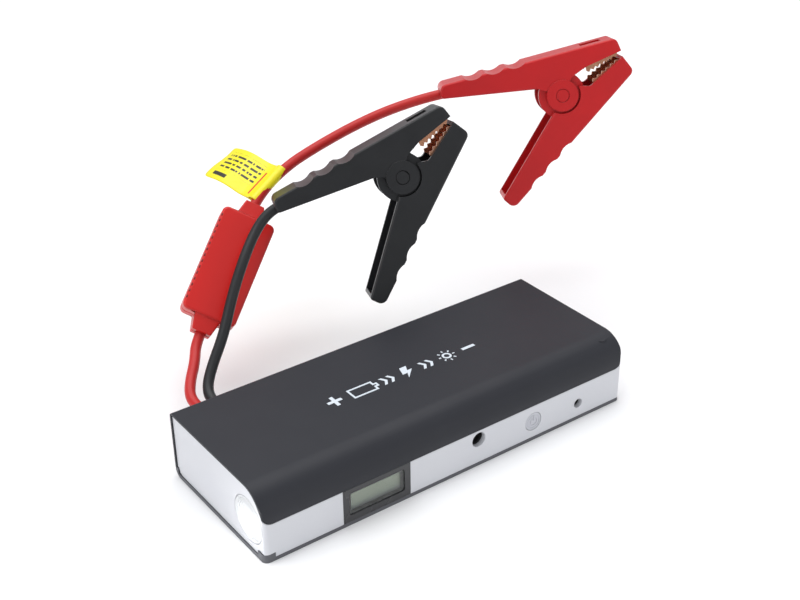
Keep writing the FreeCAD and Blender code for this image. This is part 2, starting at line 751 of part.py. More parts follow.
UPPER_FORM = ArmForm(18.0, 12.2, (-9.6, 5.4), (5.8, 6.8), (12.5, 9.4), (29.0, 12.2))
LOWER_FORM = ArmForm(17.0, 10.4, (-8.2, 2.2), (8.2, 3.2), (10.8, 6.6), (29.3, 8.9))
GRIP_PLACES = (-35.5, -26.0, -16.5)
GRIP_RADIUS = 6.5
GRIP_DEPTH = 1.3


def make_arm_shell(form):
    """A channel moulding: two side plates, a spine with finger grips and closed ends."""
    half = size("clamp_width") / 2
    plate = size("clamp_plate")
    solid = slab(form.outline(), -half, half)
    for x, z, radius in form.rounds():
        spot = Vector(x, 0, z)
        corner = [
            edge for edge in solid.Edges
            if edge.BoundBox.YLength > 1 and edge.CenterOfMass.distanceToPoint(spot) < 0.01
        ]
        solid = solid.makeFillet(radius, corner)
    side_edges = [edge for edge in solid.Edges if abs(edge.CenterOfMass.y) > half - 0.1]
    spine_edges = [
        edge for edge in side_edges
        if edge.CenterOfMass.z > form.spine - 2.3 and edge.Length > 1.5
    ]
    solid = solid.makeFillet(0.9, spine_edges)
    for place in GRIP_PLACES:
        groove = peg(GRIP_RADIUS, -half - 1, half + 1, place, form.spine + GRIP_RADIUS - GRIP_DEPTH)
        solid = solid.cut(groove)
    roof = form.spine - plate - GRIP_DEPTH + 0.4
    back = size("arm_back") + 2.0
    front = size("arm_front") - 1.5
    channel = [
        (back, -20.0), (back, roof - 1.5), (back + 1.5, roof),
        (front - 1.5, roof), (front, roof - 2.0), (front, -20.0),
    ]
    solid = solid.cut(slab(channel, -half + plate, half - plate))
    slot = Part.makeBox(9.0, 6.0, 6.0, Vector(size("arm_front") - 16.0, -3.0, form.spine - 3.0))
    return solid.cut(slot)


def make_upper_arm():
    """Arm that carries the lead, with a raised disc on each side of the pivot."""
    half = size("clamp_width") / 2
    plate = size("clamp_plate")
    proud = size("disc_proud")
    arm = make_arm_shell(UPPER_FORM)
    discs = both_sides(lambda sign: side_peg(size("disc_radius"), half - plate, half + proud, sign))
    arm = arm.multiFuse(discs)
    pin = size("pin_radius")
    holes = [peg(pin, -half - 1, half + 1)]
    seat = size("pin_head") + 0.15
    holes += both_sides(lambda sign: side_peg(seat, half + proud - 1.0, half + proud + 1, sign))
    entry_start = Vector(size("arm_back") - 1, 0, 13.6)
    entry = Part.makeCylinder(size("lead_diameter") / 2 + 0.5, 17.0, entry_start, Vector(1, 0, -0.07))
    arm = arm.cut(Part.makeCompound(holes + [entry]))
    return arm.removeSplitter()


def make_lower_arm():
    """Free arm, whose plates step inwards round the pivot so that the upper arm's discs lie over them."""
    half = size("clamp_width") / 2
    plate = size("clamp_plate")
    gap = size("lap_gap")
    shell = make_arm_shell(LOWER_FORM)
    recess = both_sides(lambda sign: side_peg(size("recess_radius"), half - plate - 0.1, half + 1, sign))
    shell = shell.cut(Part.makeCompound(recess))
    inner = size("boss_inner")
    step = half - plate - gap
    bosses = both_sides(lambda sign: side_peg(size("boss_radius"), inner, step, sign))
    region = slab(LOWER_FORM.outline(), -half, half)
    collars = []
    for sign in (-1, 1):
        ring = side_peg(size("boss_radius"), inner, half - 0.5, sign)
        ring = ring.cut(side_peg(size("recess_radius"), inner - 1, half + 1, sign))
        collars.append(ring.common(region))
    arm = shell.multiFuse(bosses + collars)
    arm = arm.cut(peg(size("pin_radius") + size("pin_running"), -half - 1, half + 1))
    return arm.removeSplitter()


def tooth_line(start, end, height):
    """Points of a row of pointed teeth from start to end, which stand out by a height."""
    (x0, z0), (x1, z1) = start, end
    count = round(math.hypot(x1 - x0, z1 - z0) / size("tooth_pitch"))
    points = []
    for index in range(count):
        for share, rise in ((0.0, height), (0.5, 0.0)):
            ratio = (index + share) / count
            points.append((x0 + (x1 - x0) * ratio, z0 + (z1 - z0) * ratio + rise))
    points.append((x1, z1 + height))
    return points


def make_copper_jaw(form, root, tip, tail):
    """Toothed copper strip bent to a channel, held between an arm's plates."""
    half = size("clamp_width") / 2 - size("clamp_plate") - 0.1
    thick = size("copper_thick")
    web = form.spine - 4.4
    wall = tooth_line(root, tip, size("tooth_height")) + [(tip[0], web), (root[0], web)]
    pieces = both_sides(lambda sign: slab(wall, *sorted((sign * half, sign * (half - thick)))))
    length = tip[0] - root[0]
    pieces.append(Part.makeBox(length, 2 * half, thick, Vector(root[0], -half, web - thick)))
    if tail:
        strap_end = -28.0
        pieces.append(Part.makeBox(root[0] - strap_end, 5.0, thick, Vector(strap_end, -2.5, web - thick)))
        pieces.append(Part.makeCylinder(2.1, 8.0, Vector(strap_end - 7.5, 0, 12.5), Vector(1, 0, 0)))
    jaw = pieces[0].multiFuse(pieces[1:])
    return jaw.removeSplitter()


def make_pin():
    """Pivot pin with a low round head at each end."""
    half = size("clamp_width") / 2 + size("disc_proud")
    shank = peg(size("pin_radius") - 0.01, -half + 0.9, half - 0.9)
    heads = both_sides(lambda sign: side_peg(size("pin_head"), half - 0.98, half - 0.12, sign))
    return shank.multiFuse(heads).removeSplitter()


def make_spring():
    """Outer form of the torsion spring: a sleeve round the pin and two straight legs along the handles."""
    width = size("boss_inner") - 0.4
    wire = size("spring_wire")
    inner = size("spring_inner")
    sleeve = peg(inner + 1.4 * wire, -width, width).cut(peg(inner, -width, width))
    legs = []
    for upper, side in ((True, -1), (False, 1)):
        form = UPPER_FORM if upper else LOWER_FORM
        start = Vector(-2.0, side * (width - wire), inner + 0.4)
        reach = Vector(-24.0, side * (width - wire), form.spine - 5.2) - start
        leg = Part.makeCylinder(wire / 2, reach.Length, start, reach)
        leg.Placement = arm_turn(upper) * leg.Placement
        legs.append(leg)
    return sleeve.multiFuse(legs).removeSplitter()


def clamp_piece(colour, name, shape, local=Placement()):
    """One clamp piece as a document object of its own."""
    piece = doc.addObject("Part::Feature", f"{colour}_clamp_{name}")
    piece.Shape = shape
    piece.Placement = clamp_place(colour) * local
    return node(piece, f"{colour}_clamp_{name}")


def make_clamp(colour):
    upper = arm_turn(True)
    lower = arm_turn(False)
    clamp_piece(colour, "upper_arm", make_upper_arm(), upper)
    clamp_piece(colour, "lower_arm", make_lower_arm(), lower)
    upper_jaw = make_copper_jaw(UPPER_FORM, (12.7, 6.3), (27.2, 10.1), True)
    clamp_piece(colour, "upper_jaw", upper_jaw, upper)
    lower_jaw = make_copper_jaw(LOWER_FORM, (12.9, 5.4), (27.2, 7.8), False)
    clamp_piece(colour, "lower_jaw", lower_jaw, lower)
    clamp_piece(colour, "pin", make_pin())
    clamp_piece(colour, "spring", make_spring())


# ---- Leads, in-line box and label ----
# Every lead follows a route of corner points: straight runs joined by arcs that touch both runs.

RED_LOWER_ROUTE = (
    Vector(-63.4, 42.1, 13.0), Vector(-63.3, 48.6, 13.1), Vector(-62.2, 54.5, 13.6),
    Vector(-59.2, 60.9, 16.2), Vector(-54.2, 67.9, 20.2), Vector(-50.2, 74.8, 23.8),
    Vector(-45.2, 77.5, 28.2),
)
RED_UPPER_ROUTE = (
    Vector(-7.1, 98.3, 61.6), Vector(-2.1, 101.0, 66.0), Vector(13.0, 103.1, 74.5),
    Vector(31.0, 102.9, 80.2), Vector(49.5, 101.2, 85.6), Vector(66.5, 98.4, 89.6),
    Vector(85.6, 91.9, 93.4), Vector(99.4, 83.7, 96.0),
)
BLACK_ROUTE = (
    Vector(-57.0, 42.1, 13.0), Vector(-56.9, 48.6, 13.1), Vector(-54.6, 54.1, 15.2),
    Vector(-50.5, 59.3, 20.4), Vector(-42.3, 64.8, 30.4), Vector(-34.3, 70.2, 43.0),
    Vector(-24.5, 76.5, 53.6), Vector(-15.1, 82.1, 61.2), Vector(-8.2, 83.4, 66.6),
    Vector(-0.9, 81.4, 69.9), Vector(8.6, 78.1, 73.4),
)
LOWER_NECK_END = Vector(-46.9, 76.6, 26.7)
UPPER_NECK_END = Vector(-5.4, 99.2, 63.1)
LABEL_MIDDLE = Vector(3.7, 101.8, 69.3)


def corner_arc(before, corner, after):
    """Arc that rounds one corner: its first point, its last point, the arc and its radius."""
    back = before - corner
    ahead = after - corner
    reach = 0.45 * min(back.Length, ahead.Length)
    turn = math.pi - back.getAngle(ahead)
    radius = reach / math.tan(turn / 2)
    back.normalize()
    ahead.normalize()
    inward = (back + ahead).normalize()
    middle = corner + inward * (radius / math.cos(turn / 2) - radius)
    first = corner + back * reach
    last = corner + ahead * reach
    return first, last, Part.Arc(first, middle, last), radius


def route_edges(points):
    """Edges of a route from its corner points, run and arc in turn, and the radii of the arcs."""
    edges = []
    radii = []
    here = points[0]
    for before, corner, after in zip(points, points[1:], points[2:]):
        first, last, arc, radius = corner_arc(before, corner, after)
        edges.append(Part.LineSegment(here, first).toShape())
        edges.append(arc.toShape())
        radii.append(radius)
        here = last
    edges.append(Part.LineSegment(here, points[-1]).toShape())
    return edges, radii


def swept(edges, radius):
    """A round bar along joined edges."""
    wire = Part.Wire(edges)
    start = edges[0].valueAt(edges[0].FirstParameter)
    ring = Part.Wire(Part.makeCircle(radius, start, edges[0].tangentAt(edges[0].FirstParameter)))
    return wire.makePipeShell([ring], True, False)


def make_lead(name, points):
    """One lead as a tube along its route; its bend radii and length are printed."""
    edges, radii = route_edges(points)
    radius = size("lead_diameter") / 2
    piece = doc.addObject("Part::Feature", name)
    piece.Shape = swept(edges, radius)
    length = sum(edge.Length for edge in edges)
    share = piece.Shape.Volume / (math.pi * radius**2 * length)
    print(name, "length", round(length, 1), "volume share", round(share, 4))
    print("  radii", [round(value, 1) for value in radii])
    return node(piece, name)


def box_place():
    """Placement of the in-line box between the leads: X along it, Y through it, Z across it."""
    along = UPPER_NECK_END - LOWER_NECK_END
    across = Vector(-0.74, 0.55, 0.43)
    return Placement((LOWER_NECK_END + UPPER_NECK_END) / 2, Rotation(along, Vector(), across, "XZY"))


def make_box_half(sign):
    """One half of the box: a hollow shell with a neck at each end and a groove for the leads."""
    half_length = size("box_length") / 2
    half_width = size("box_width") / 2
    half_thick = size("box_thick") / 2
    neck = size("neck_length")
    neck_half = size("neck_width") / 2
    wall = size("box_wall")
    low, high = sorted((sign * 0.05, sign * half_thick))
    body = Part.makeBox(2 * half_length, high - low, 2 * half_width, Vector(-half_length, low, -half_width))
    corners = [edge for edge in body.Edges if abs(edge.tangentAt(edge.FirstParameter).y) > 0.9]
    body = body.makeFillet(2.5, corners)
    level = sign * half_thick
    flat = [edge for edge in body.Edges if edge.BoundBox.YLength < 0.01]
    rim = [edge for edge in flat if abs(edge.BoundBox.Center.y - level) < 0.01]
    body = body.makeFillet(1.2, rim)
    neck_low, neck_high = sorted((sign * 0.05, sign * (half_thick - 1.0)))
    necks = [
        Part.makeBox(neck + 2, neck_high - neck_low, 2 * neck_half, Vector(start, neck_low, -neck_half))
        for start in (-half_length - neck, half_length - 2)
    ]
    body = body.multiFuse(necks)
    room_low, room_high = sorted((0.0, sign * (half_thick - wall)))
    room = Part.makeBox(
        2 * (half_length - wall), room_high - room_low, 2 * (half_width - wall),
        Vector(-half_length + wall, room_low, -half_width + wall),
    )
    reach = half_length + neck
    wires = Part.makeCylinder(1.6, 2 * reach, Vector(-reach, 0, 0), Vector(1, 0, 0))
    grips = [
        Part.makeCylinder(size("lead_diameter") / 2 + 0.2, 3.0 + 1.0, Vector(start, 0, 0), Vector(1, 0, 0))
        for start in (-reach - 1.0, reach - 3.0)
    ]
    body = body.cut(Part.makeCompound([room, wires] + grips))
    slots = []
    first = -(size("vent_count") - 1) / 2 * size("vent_pitch")
    for index in range(int(size("vent_count"))):
        x = first + index * size("vent_pitch")
        slot_low, slot_high = sorted((sign * 1.0, sign * (half_thick - 1.9)))
        slot_corner = Vector(x - 0.6, slot_low, half_width - 0.6)
        slots.append(Part.makeBox(1.2, slot_high - slot_low, 0.6, slot_corner))
    return body.cut(Part.makeCompound(slots)).removeSplitter()


def make_inline_box():
    place = box_place()
    for name, sign in (("inline_box_front", -1), ("inline_box_back", 1)):
        piece = doc.addObject("Part::Feature", name)
        piece.Shape = make_box_half(sign)
        piece.Placement = place
        node(piece, name)
    board = doc.addObject("Part::Feature", "inline_board")
    board.Shape = Part.makeBox(38.0, 1.6, 17.0, Vector(-19.0, -0.8, -8.5))
    board.Placement = place
    node(board, "inline_board")


def make_label():
    """Flag label: a band round the red lead and a flat tab of tape stuck to itself."""
    edges, _ = route_edges(RED_UPPER_ROUTE)
    held = edges[1:4]
    inner = size("lead_diameter") / 2 + 0.02
    thick = size("label_thick")
    width = size("label_width")
    along = RED_UPPER_ROUTE[2] - RED_UPPER_ROUTE[1]
    out = Vector(-0.17, 0.98, 0.07)
    place = Placement(LABEL_MIDDLE, Rotation(along, Vector(), out, "XZY"))
    stretch = Part.makeBox(width, 12.0, 12.0, Vector(-width / 2, -6.0, -6.0))
    stretch.Placement = place * stretch.Placement
    band = swept(held, inner + thick).cut(swept(held, inner)).common(stretch)
    tab = Part.makeBox(width, 2 * thick, size("label_reach"), Vector(-width / 2, -thick, inner + 0.3))
    tab.Placement = place * tab.Placement
    piece = doc.addObject("Part::Feature", "flag_label")
    piece.Shape = band.fuse(tab).removeSplitter()
    node(piece, "flag_label")


# ---- Build, check and export ----

make_top_shell()
make_bottom_tray()
make_side_frame()
make_torch()
make_display()
make_button()
make_barrel_socket("output", "4.5", "16.3")
make_barrel_socket("charge", "3.0", "10.8")
make_inside()
make_socket_and_plug()
make_lead("red_lead_lower", RED_LOWER_ROUTE)
make_inline_box()
make_lead("red_lead_upper", RED_UPPER_ROUTE)
make_label()
make_lead("black_lead", BLACK_ROUTE)
make_clamp("red")
make_clamp("black")
doc.recompute()

for thing in doc.Objects:
    if "Invalid" in thing.State or "Error" in thing.State:
        raise RuntimeError(f"{thing.Label} did not compute: {thing.State}")

os.makedirs("parts", exist_ok=True)
for piece in NODES:
    if piece.Shape.isNull() or not piece.Shape.isValid():
        raise RuntimeError(f"{piece.Label} has no valid shape")
    piece.Shape.exportStep(f"parts/{piece.Label}.step")
print(len(NODES), "pieces exported")
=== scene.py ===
"""Looks of a pocket jump starter: battery pack with torch, display, button and sockets, and clamp leads."""

import json
import logging
import math
from collections.abc import Sequence
from dataclasses import dataclass
from enum import Enum

import bmesh
import bpy
from mathutils import Matrix, Vector

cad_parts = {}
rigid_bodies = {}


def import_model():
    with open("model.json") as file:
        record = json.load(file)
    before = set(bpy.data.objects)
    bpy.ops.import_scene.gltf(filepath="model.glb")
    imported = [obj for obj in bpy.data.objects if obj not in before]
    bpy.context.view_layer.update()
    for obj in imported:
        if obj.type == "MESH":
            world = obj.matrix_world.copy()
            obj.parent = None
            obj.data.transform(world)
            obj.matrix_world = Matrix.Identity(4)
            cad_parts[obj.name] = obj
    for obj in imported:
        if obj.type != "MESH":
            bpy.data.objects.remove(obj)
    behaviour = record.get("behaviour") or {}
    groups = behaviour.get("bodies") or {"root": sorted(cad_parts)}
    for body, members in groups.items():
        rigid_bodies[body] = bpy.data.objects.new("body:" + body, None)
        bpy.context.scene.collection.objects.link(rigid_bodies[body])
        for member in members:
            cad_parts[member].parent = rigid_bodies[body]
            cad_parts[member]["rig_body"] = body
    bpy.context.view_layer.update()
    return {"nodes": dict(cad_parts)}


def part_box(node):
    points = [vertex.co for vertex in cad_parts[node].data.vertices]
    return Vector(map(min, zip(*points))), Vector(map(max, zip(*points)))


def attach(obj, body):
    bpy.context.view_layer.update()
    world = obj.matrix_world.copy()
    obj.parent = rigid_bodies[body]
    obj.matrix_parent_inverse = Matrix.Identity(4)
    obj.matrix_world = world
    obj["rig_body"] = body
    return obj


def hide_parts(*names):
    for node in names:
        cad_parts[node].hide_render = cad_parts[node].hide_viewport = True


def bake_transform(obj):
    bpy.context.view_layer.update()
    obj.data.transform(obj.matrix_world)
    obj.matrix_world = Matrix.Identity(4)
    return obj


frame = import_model()

LOG = logging.getLogger("jump_starter")
MM = 0.001
SHARP_FROM = math.radians(38.0)
ROUNDED_FROM = math.radians(32.0)
Point = tuple[float, float, float]
Corner = tuple[float, float]
Colour = tuple[float, float, float, float]
Tree = bpy.types.NodeTree
Node = bpy.types.Node
Socket = bpy.types.NodeSocket
Piece = bpy.types.Object
Form = bmesh.types.BMesh


class Body(str, Enum):
    """The CAD bodies that pieces ride on."""

    PACK = "pack"
    BUTTON = "power_button"
    RED_HANDLE = "red_clamp_handle"
    BLACK_HANDLE = "black_clamp_handle"


class Pole(str, Enum):
    """The two leads and their clamps."""

    RED = "red"
    BLACK = "black"


# ---- Nodes and finishes ----


def linear(hex_colour: str) -> Colour:
    """Turns an sRGB hex colour into linear red, green, blue and alpha.

    Args:
        hex_colour: Six hex digits after a hash sign.

    Returns:
        The linear colour with an alpha of 1.
    """
    channels = [int(hex_colour[start:start + 2], 16) / 255 for start in (1, 3, 5)]
    red, green, blue = (c / 12.92 if c <= 0.04045 else ((c + 0.055) / 1.055) ** 2.4 for c in channels)
    return red, green, blue, 1.0


def set_inputs(tree: Tree, node: Node, inputs: dict) -> None:
    """Sets or links a node's inputs.

    Args:
        tree: Node tree that the node is in.
        node: The node.
        inputs: Values, or the output sockets to link, by input name or index.
    """
    for name, value in inputs.items():
        if isinstance(value, Socket):
            tree.links.new(value, node.inputs[name])
        else:
            node.inputs[name].default_value = value


def add_node(tree: Tree, kind: str, options: dict | None = None, inputs: dict | None = None) -> Node:
    """Adds a node with its settings and links.

    Args:
        tree: Node tree that gets the node.
        kind: Node type.
        options: Node properties by name.
        inputs: Values or sockets by input name or index.

    Returns:
        The new node.
    """
    node = tree.nodes.new(kind)
    for name, value in (options or {}).items():
        setattr(node, name, value)
    set_inputs(tree, node, inputs or {})
    return node


def per_metre(size_mm: float) -> float:
    """Scale of a pattern on object coordinates whose repeat has a real size in millimetres."""
    return 1.0 / (size_mm * MM)


def object_place(tree: Tree) -> Socket:
    """A point's place in the object's own coordinates."""
    return add_node(tree, "ShaderNodeTexCoord").outputs["Object"]


def noise(tree: Tree, place: Socket, size_mm: float, detail: float, distortion: float = 0.0) -> Socket:
    """Soft noise of a real size.

    Args:
        tree: Node tree that gets the node.
        place: Coordinates that the noise is laid on.
        size_mm: Size of its largest lumps.
        detail: Number of finer layers.
        distortion: How much the lumps are pulled about.

    Returns:
        The noise, from 0 to 1.
    """
    settings = {"Vector": place, "Scale": per_metre(size_mm), "Detail": detail, "Distortion": distortion}
    return add_node(tree, "ShaderNodeTexNoise", inputs=settings).outputs["Fac"]


def spread(tree: Tree, value: Socket, low: float, high: float) -> Socket:
    """A value from 0 to 1, stretched from low to high."""
    settings = {"Value": value, "To Min": low, "To Max": high}
    return add_node(tree, "ShaderNodeMapRange", inputs=settings).outputs["Result"]


def tinted(tree: Tree, share: Socket, first: Colour | Socket, second: Colour) -> Socket:
    """A colour between two others: the first at a share of 0, the second at 1."""
    return add_node(tree, "ShaderNodeMix", {"data_type": "RGBA"}, {0: share, 6: first, 7: second}).outputs[2]


def worked_out(tree: Tree, operation: str, *values: float | Socket, clamp: bool = False) -> Socket:
    """Result of one arithmetic operation on its values, kept between 0 and 1 where it is clamped."""
    options = {"operation": operation, "use_clamp": clamp}
    return add_node(tree, "ShaderNodeMath", options, dict(enumerate(values))).outputs[0]


def axis(tree: Tree, vector: Socket, letter: str) -> Socket:
    """One component of a vector."""
    return add_node(tree, "ShaderNodeSeparateXYZ", inputs={"Vector": vector}).outputs[letter]


def cells(tree: Tree, size_mm: float) -> Socket:
    """Distance to the nearest cell's middle, in a pattern of cells of a real size on object coordinates."""
    pattern = {"Vector": object_place(tree), "Scale": per_metre(size_mm)}
    return add_node(tree, "ShaderNodeTexVoronoi", inputs=pattern).outputs["Distance"]


def relief(
    tree: Tree, height: Socket, depth_mm: float, strength: float = 1.0, normal: Socket | None = None,
) -> Socket:
    """Shading of a fine relief.

    Args:
        tree: Node tree that gets the node.
        height: Height of the relief, from 0 to 1.
        depth_mm: Its real depth.
        strength: How much of it shows.
        normal: Normal that it is laid on, where that is not the surface's own.

    Returns:
        The normal with the relief.
    """
    settings = {"Height": height, "Distance": depth_mm * MM, "Strength": strength}
    if normal is not None:
        settings["Normal"] = normal
    return add_node(tree, "ShaderNodeBump", inputs=settings).outputs["Normal"]


def rounded_edges(tree: Tree, radius_mm: float) -> Socket:
    """Normal of a surface whose edges are shaded as rounded by a radius."""
    return add_node(tree, "ShaderNodeBevel", {"samples": 4}, {"Radius": radius_mm * MM}).outputs["Normal"]


class Finish:
    """A surface finish, made once as a material and shared by the pieces that have it."""

    name: str

    def dress(self, tree: Tree, surface: Node) -> None:
        """Builds the finish's nodes on a fresh Principled surface."""
        raise NotImplementedError

    def material(self) -> bpy.types.Material:
        """The finish's material, made on first use."""
        found = bpy.data.materials.get(self.name)
        if found is None:
            found = bpy.data.materials.new(self.name)
            found.use_nodes = True
            self.dress(found.node_tree, found.node_tree.nodes["Principled BSDF"])
        return found


@dataclass(frozen=True)
class Moulding(Finish):
    """Moulded plastic or rubber: a grain, faint flow clouds in colour and gloss, and rounded edges."""

    name: str
    colour: str
    cloud: str
    roughness: float
    grain_mm: float = 0.5
    grain_depth_mm: float = 0.012
    cloud_mm: float = 22.0
    ior: float = 1.5
    sheen: float = 0.0
    specular: float = 0.5
    edge_mm: float = 0.35
    gloss_swing: float = 0.05

    def dress(self, tree: Tree, surface: Node) -> None:
        """Builds clouds, grain and gloss."""
        place = object_place(tree)
        clouds = noise(tree, place, self.cloud_mm, 3.0)
        grain = noise(tree, place, self.grain_mm, 4.0)
        dull, bright = self.roughness - self.gloss_swing, self.roughness + self.gloss_swing
        set_inputs(tree, surface, {
            "Base Color": tinted(tree, clouds, linear(self.colour), linear(self.cloud)),
            "Roughness": spread(tree, clouds, dull, bright),
            "Normal": relief(tree, grain, self.grain_depth_mm, normal=rounded_edges(tree, self.edge_mm)),
            "IOR": self.ior,
            "Sheen Weight": self.sheen,
            "Specular IOR Level": self.specular,
        })


@dataclass(frozen=True)
class PlatedMetal(Finish):
    """Plated or bright metal with fine drawn scratches across a chosen axis and dull patches."""

    name: str
    colour: str
    dull: str
    roughness: float
    scratch_mm: float = 0.25
    stretch: Point = (1.0, 0.12, 1.0)
    edge_mm: float = 0.15
    patch_mm: float = 3.0
    scratch_depth_mm: float = 0.01

    def dress(self, tree: Tree, surface: Node) -> None:
        """Builds scratches and dull patches."""
        place = object_place(tree)
        drawn = add_node(tree, "ShaderNodeMapping", inputs={"Vector": place, "Scale": self.stretch})
        scratch = noise(tree, drawn.outputs["Vector"], self.scratch_mm, 5.0)
        patch = noise(tree, place, self.patch_mm, 3.0)
        edges = rounded_edges(tree, self.edge_mm)
        set_inputs(tree, surface, {
            "Base Color": tinted(tree, patch, linear(self.colour), linear(self.dull)),
            "Roughness": spread(tree, scratch, self.roughness * 0.6, self.roughness * 1.4),
            "Normal": relief(tree, scratch, self.scratch_depth_mm, 0.6, edges),
            "Metallic": 1.0,
        })


@dataclass(frozen=True)
class ClearPane(Finish):
    """Cast acrylic: clear, polished, with the faintest handling haze."""

    name: str
    colour: str
    haze_mm: float = 5.0

    def dress(self, tree: Tree, surface: Node) -> None:
        """Builds a clear surface with a little haze."""
        haze = noise(tree, object_place(tree), self.haze_mm, 2.0)
        set_inputs(tree, surface, {
            "Roughness": spread(tree, haze, 0.0, 0.06),
            "Base Color": linear(self.colour),
            "Transmission Weight": 1.0,
            "IOR": 1.49,
        })


@dataclass(frozen=True)
class GlowingLens(Finish):
    """Frosted polycarbonate over a lit diode: brightest at the diode and fading towards the rim."""

    name: str
    colour: str
    centre: Point
    radius_mm: float
    strength: float
    unlit: str = "#c6c8ca"
    frost_mm: float = 0.6
    frost_depth_mm: float = 0.02

    def dress(self, tree: Tree, surface: Node) -> None:
        """Builds the glow round the diode and the frosting."""
        place = object_place(tree)
        centred = add_node(
            tree, "ShaderNodeMapping", {"vector_type": "TEXTURE"},
            {"Vector": place, "Location": Vector(self.centre) * MM, "Scale": (self.radius_mm * MM,) * 3},
        )
        around = {"Vector": centred.outputs["Vector"]}
        glow = add_node(tree, "ShaderNodeTexGradient", {"gradient_type": "SPHERICAL"}, around)
        frost = noise(tree, place, self.frost_mm, 3.0)
        set_inputs(tree, surface, {
            "Normal": relief(tree, frost, self.frost_depth_mm),
            "Emission Strength": spread(tree, glow.outputs["Fac"], 0.0, self.strength),
            "Emission Color": linear(self.colour),
            "Base Color": linear(self.unlit),
            "Roughness": 0.22,
            "Coat Weight": 0.6,
        })


@dataclass(frozen=True)
class LiquidCrystal(Finish):
    """Unlit liquid-crystal glass: green-grey, paler at the top, with painted shade darkening it along its
    lower edge.
    """

    name: str
    pale: str
    painted_shade_colour: str
    low_mm: float
    high_mm: float
    cell_mm: float = 0.4
    speck: float = 0.06

    def dress(self, tree: Tree, surface: Node) -> None:
        """Builds the painted shade that fades from the lower edge to the top, and a fine cell pattern."""
        level = axis(tree, object_place(tree), "Z")
        # Painted shade: the glass is darker towards its lower edge, by height alone.
        height = add_node(
            tree, "ShaderNodeMapRange", {"interpolation_type": "SMOOTHSTEP"},
            {"Value": level, "From Min": self.low_mm * MM, "From Max": self.high_mm * MM},
        )
        speck = spread(tree, cells(tree, self.cell_mm), -self.speck, self.speck)
        share = worked_out(tree, "ADD", height.outputs["Result"], speck, clamp=True)
        set_inputs(tree, surface, {
            "Base Color": tinted(tree, share, linear(self.painted_shade_colour), linear(self.pale)),
            "Roughness": 0.35,
            "Coat Weight": 0.4,
        })


@dataclass(frozen=True)
class PrintedTape(Finish):
    """Vinyl tape printed with plain ruled strokes; the tape is glossy and creases where it is folded."""

    name: str
    colour: str
    ink: str
    accent: str
    crease_mm: float = 6.0
    crease_depth_mm: float = 0.35
    rows: float = 8.0
    stroke_share: float = 0.42
    words: float = 26.0
    gap_share: float = 0.44

    def dress(self, tree: Tree, surface: Node) -> None:
        """Builds rows of strokes on the tape's own map, a heading, one accent stroke and fine creases."""
        tape_map = add_node(tree, "ShaderNodeUVMap", {"uv_map": "tape"}).outputs["UV"]
        across, along = axis(tree, tape_map, "X"), axis(tree, tape_map, "Y")
        mask = self.strokes(tree, across, along)
        limits = (
            ("GREATER_THAN", across, 0.30), ("LESS_THAN", across, 0.88),
            ("GREATER_THAN", along, 0.24), ("LESS_THAN", along, 0.90),
        )
        for test, value, limit in limits:
            mask = worked_out(tree, "MULTIPLY", mask, worked_out(tree, test, value, limit))
        heading = self.patch(tree, across, along, (0.12, 0.22), (0.62, 0.88))
        printed = worked_out(tree, "MAXIMUM", mask, heading)
        tape = tinted(tree, printed, linear(self.colour), linear(self.ink))
        bar = self.patch(tree, across, along, (0.10, 0.74), (0.155, 0.185))
        creases = noise(tree, object_place(tree), self.crease_mm, 2.0, 1.5)
        set_inputs(tree, surface, {
            "Base Color": tinted(tree, bar, tape, linear(self.accent)),
            "Normal": relief(tree, creases, self.crease_depth_mm, 0.6),
            "Roughness": 0.33,
        })

    def strokes(self, tree: Tree, across: Socket, along: Socket) -> Socket:
        """Rows of broken strokes, which stand for lines of print.

        Args:
            tree: Node tree that gets the nodes.
            across: The map's value across the tape.
            along: The map's value along the tape.

        Returns:
            A socket that is 1 on a stroke and 0 between strokes.
        """
        rows = worked_out(tree, "MULTIPLY", across, self.rows)
        thin = worked_out(tree, "LESS_THAN", worked_out(tree, "FRACT", rows), self.stroke_share)
        number = worked_out(tree, "FLOOR", rows)
        row_map = add_node(tree, "ShaderNodeCombineXYZ", inputs={"X": along, "Y": number}).outputs["Vector"]
        words = add_node(
            tree, "ShaderNodeTexNoise", {"noise_dimensions": "2D"},
            {"Vector": row_map, "Scale": self.words, "Detail": 0.0},
        )
        broken = worked_out(tree, "GREATER_THAN", words.outputs["Fac"], self.gap_share)
        return worked_out(tree, "MULTIPLY", thin, broken)

    def patch(
        self, tree: Tree, across: Socket, along: Socket,
        across_range: tuple[float, float], along_range: tuple[float, float],
    ) -> Socket:
        """A rectangle of print on the tape's map.

        Args:
            tree: Node tree that gets the nodes.
            across: The map's value across the tape.
            along: The map's value along the tape.
            across_range: First and last value across.
            along_range: First and last value along.

        Returns:
            A socket that is 1 inside the rectangle and 0 outside.
        """
        sides = [
            worked_out(tree, "COMPARE", value, (first + last) / 2, (last - first) / 2)
            for value, (first, last) in ((across, across_range), (along, along_range))
        ]
        return worked_out(tree, "MULTIPLY", *sides)


@dataclass(frozen=True)
class SolderMask(Finish):
    """Circuit board under green solder mask with paler tracks."""

    name: str
    colour: str
    track: str
    run_mm: float = 4.0

    def dress(self, tree: Tree, surface: Node) -> None:
        """Builds the tracks as a brick pattern of long runs."""
        tracks = add_node(
            tree, "ShaderNodeTexBrick", inputs={
                "Vector": object_place(tree), "Color1": linear(self.colour), "Color2": linear(self.colour),
                "Mortar": linear(self.track), "Scale": per_metre(self.run_mm), "Mortar Size": 0.04,
            },
        )
        set_inputs(tree, surface, {"Base Color": tracks.outputs["Color"], "Roughness": 0.3})


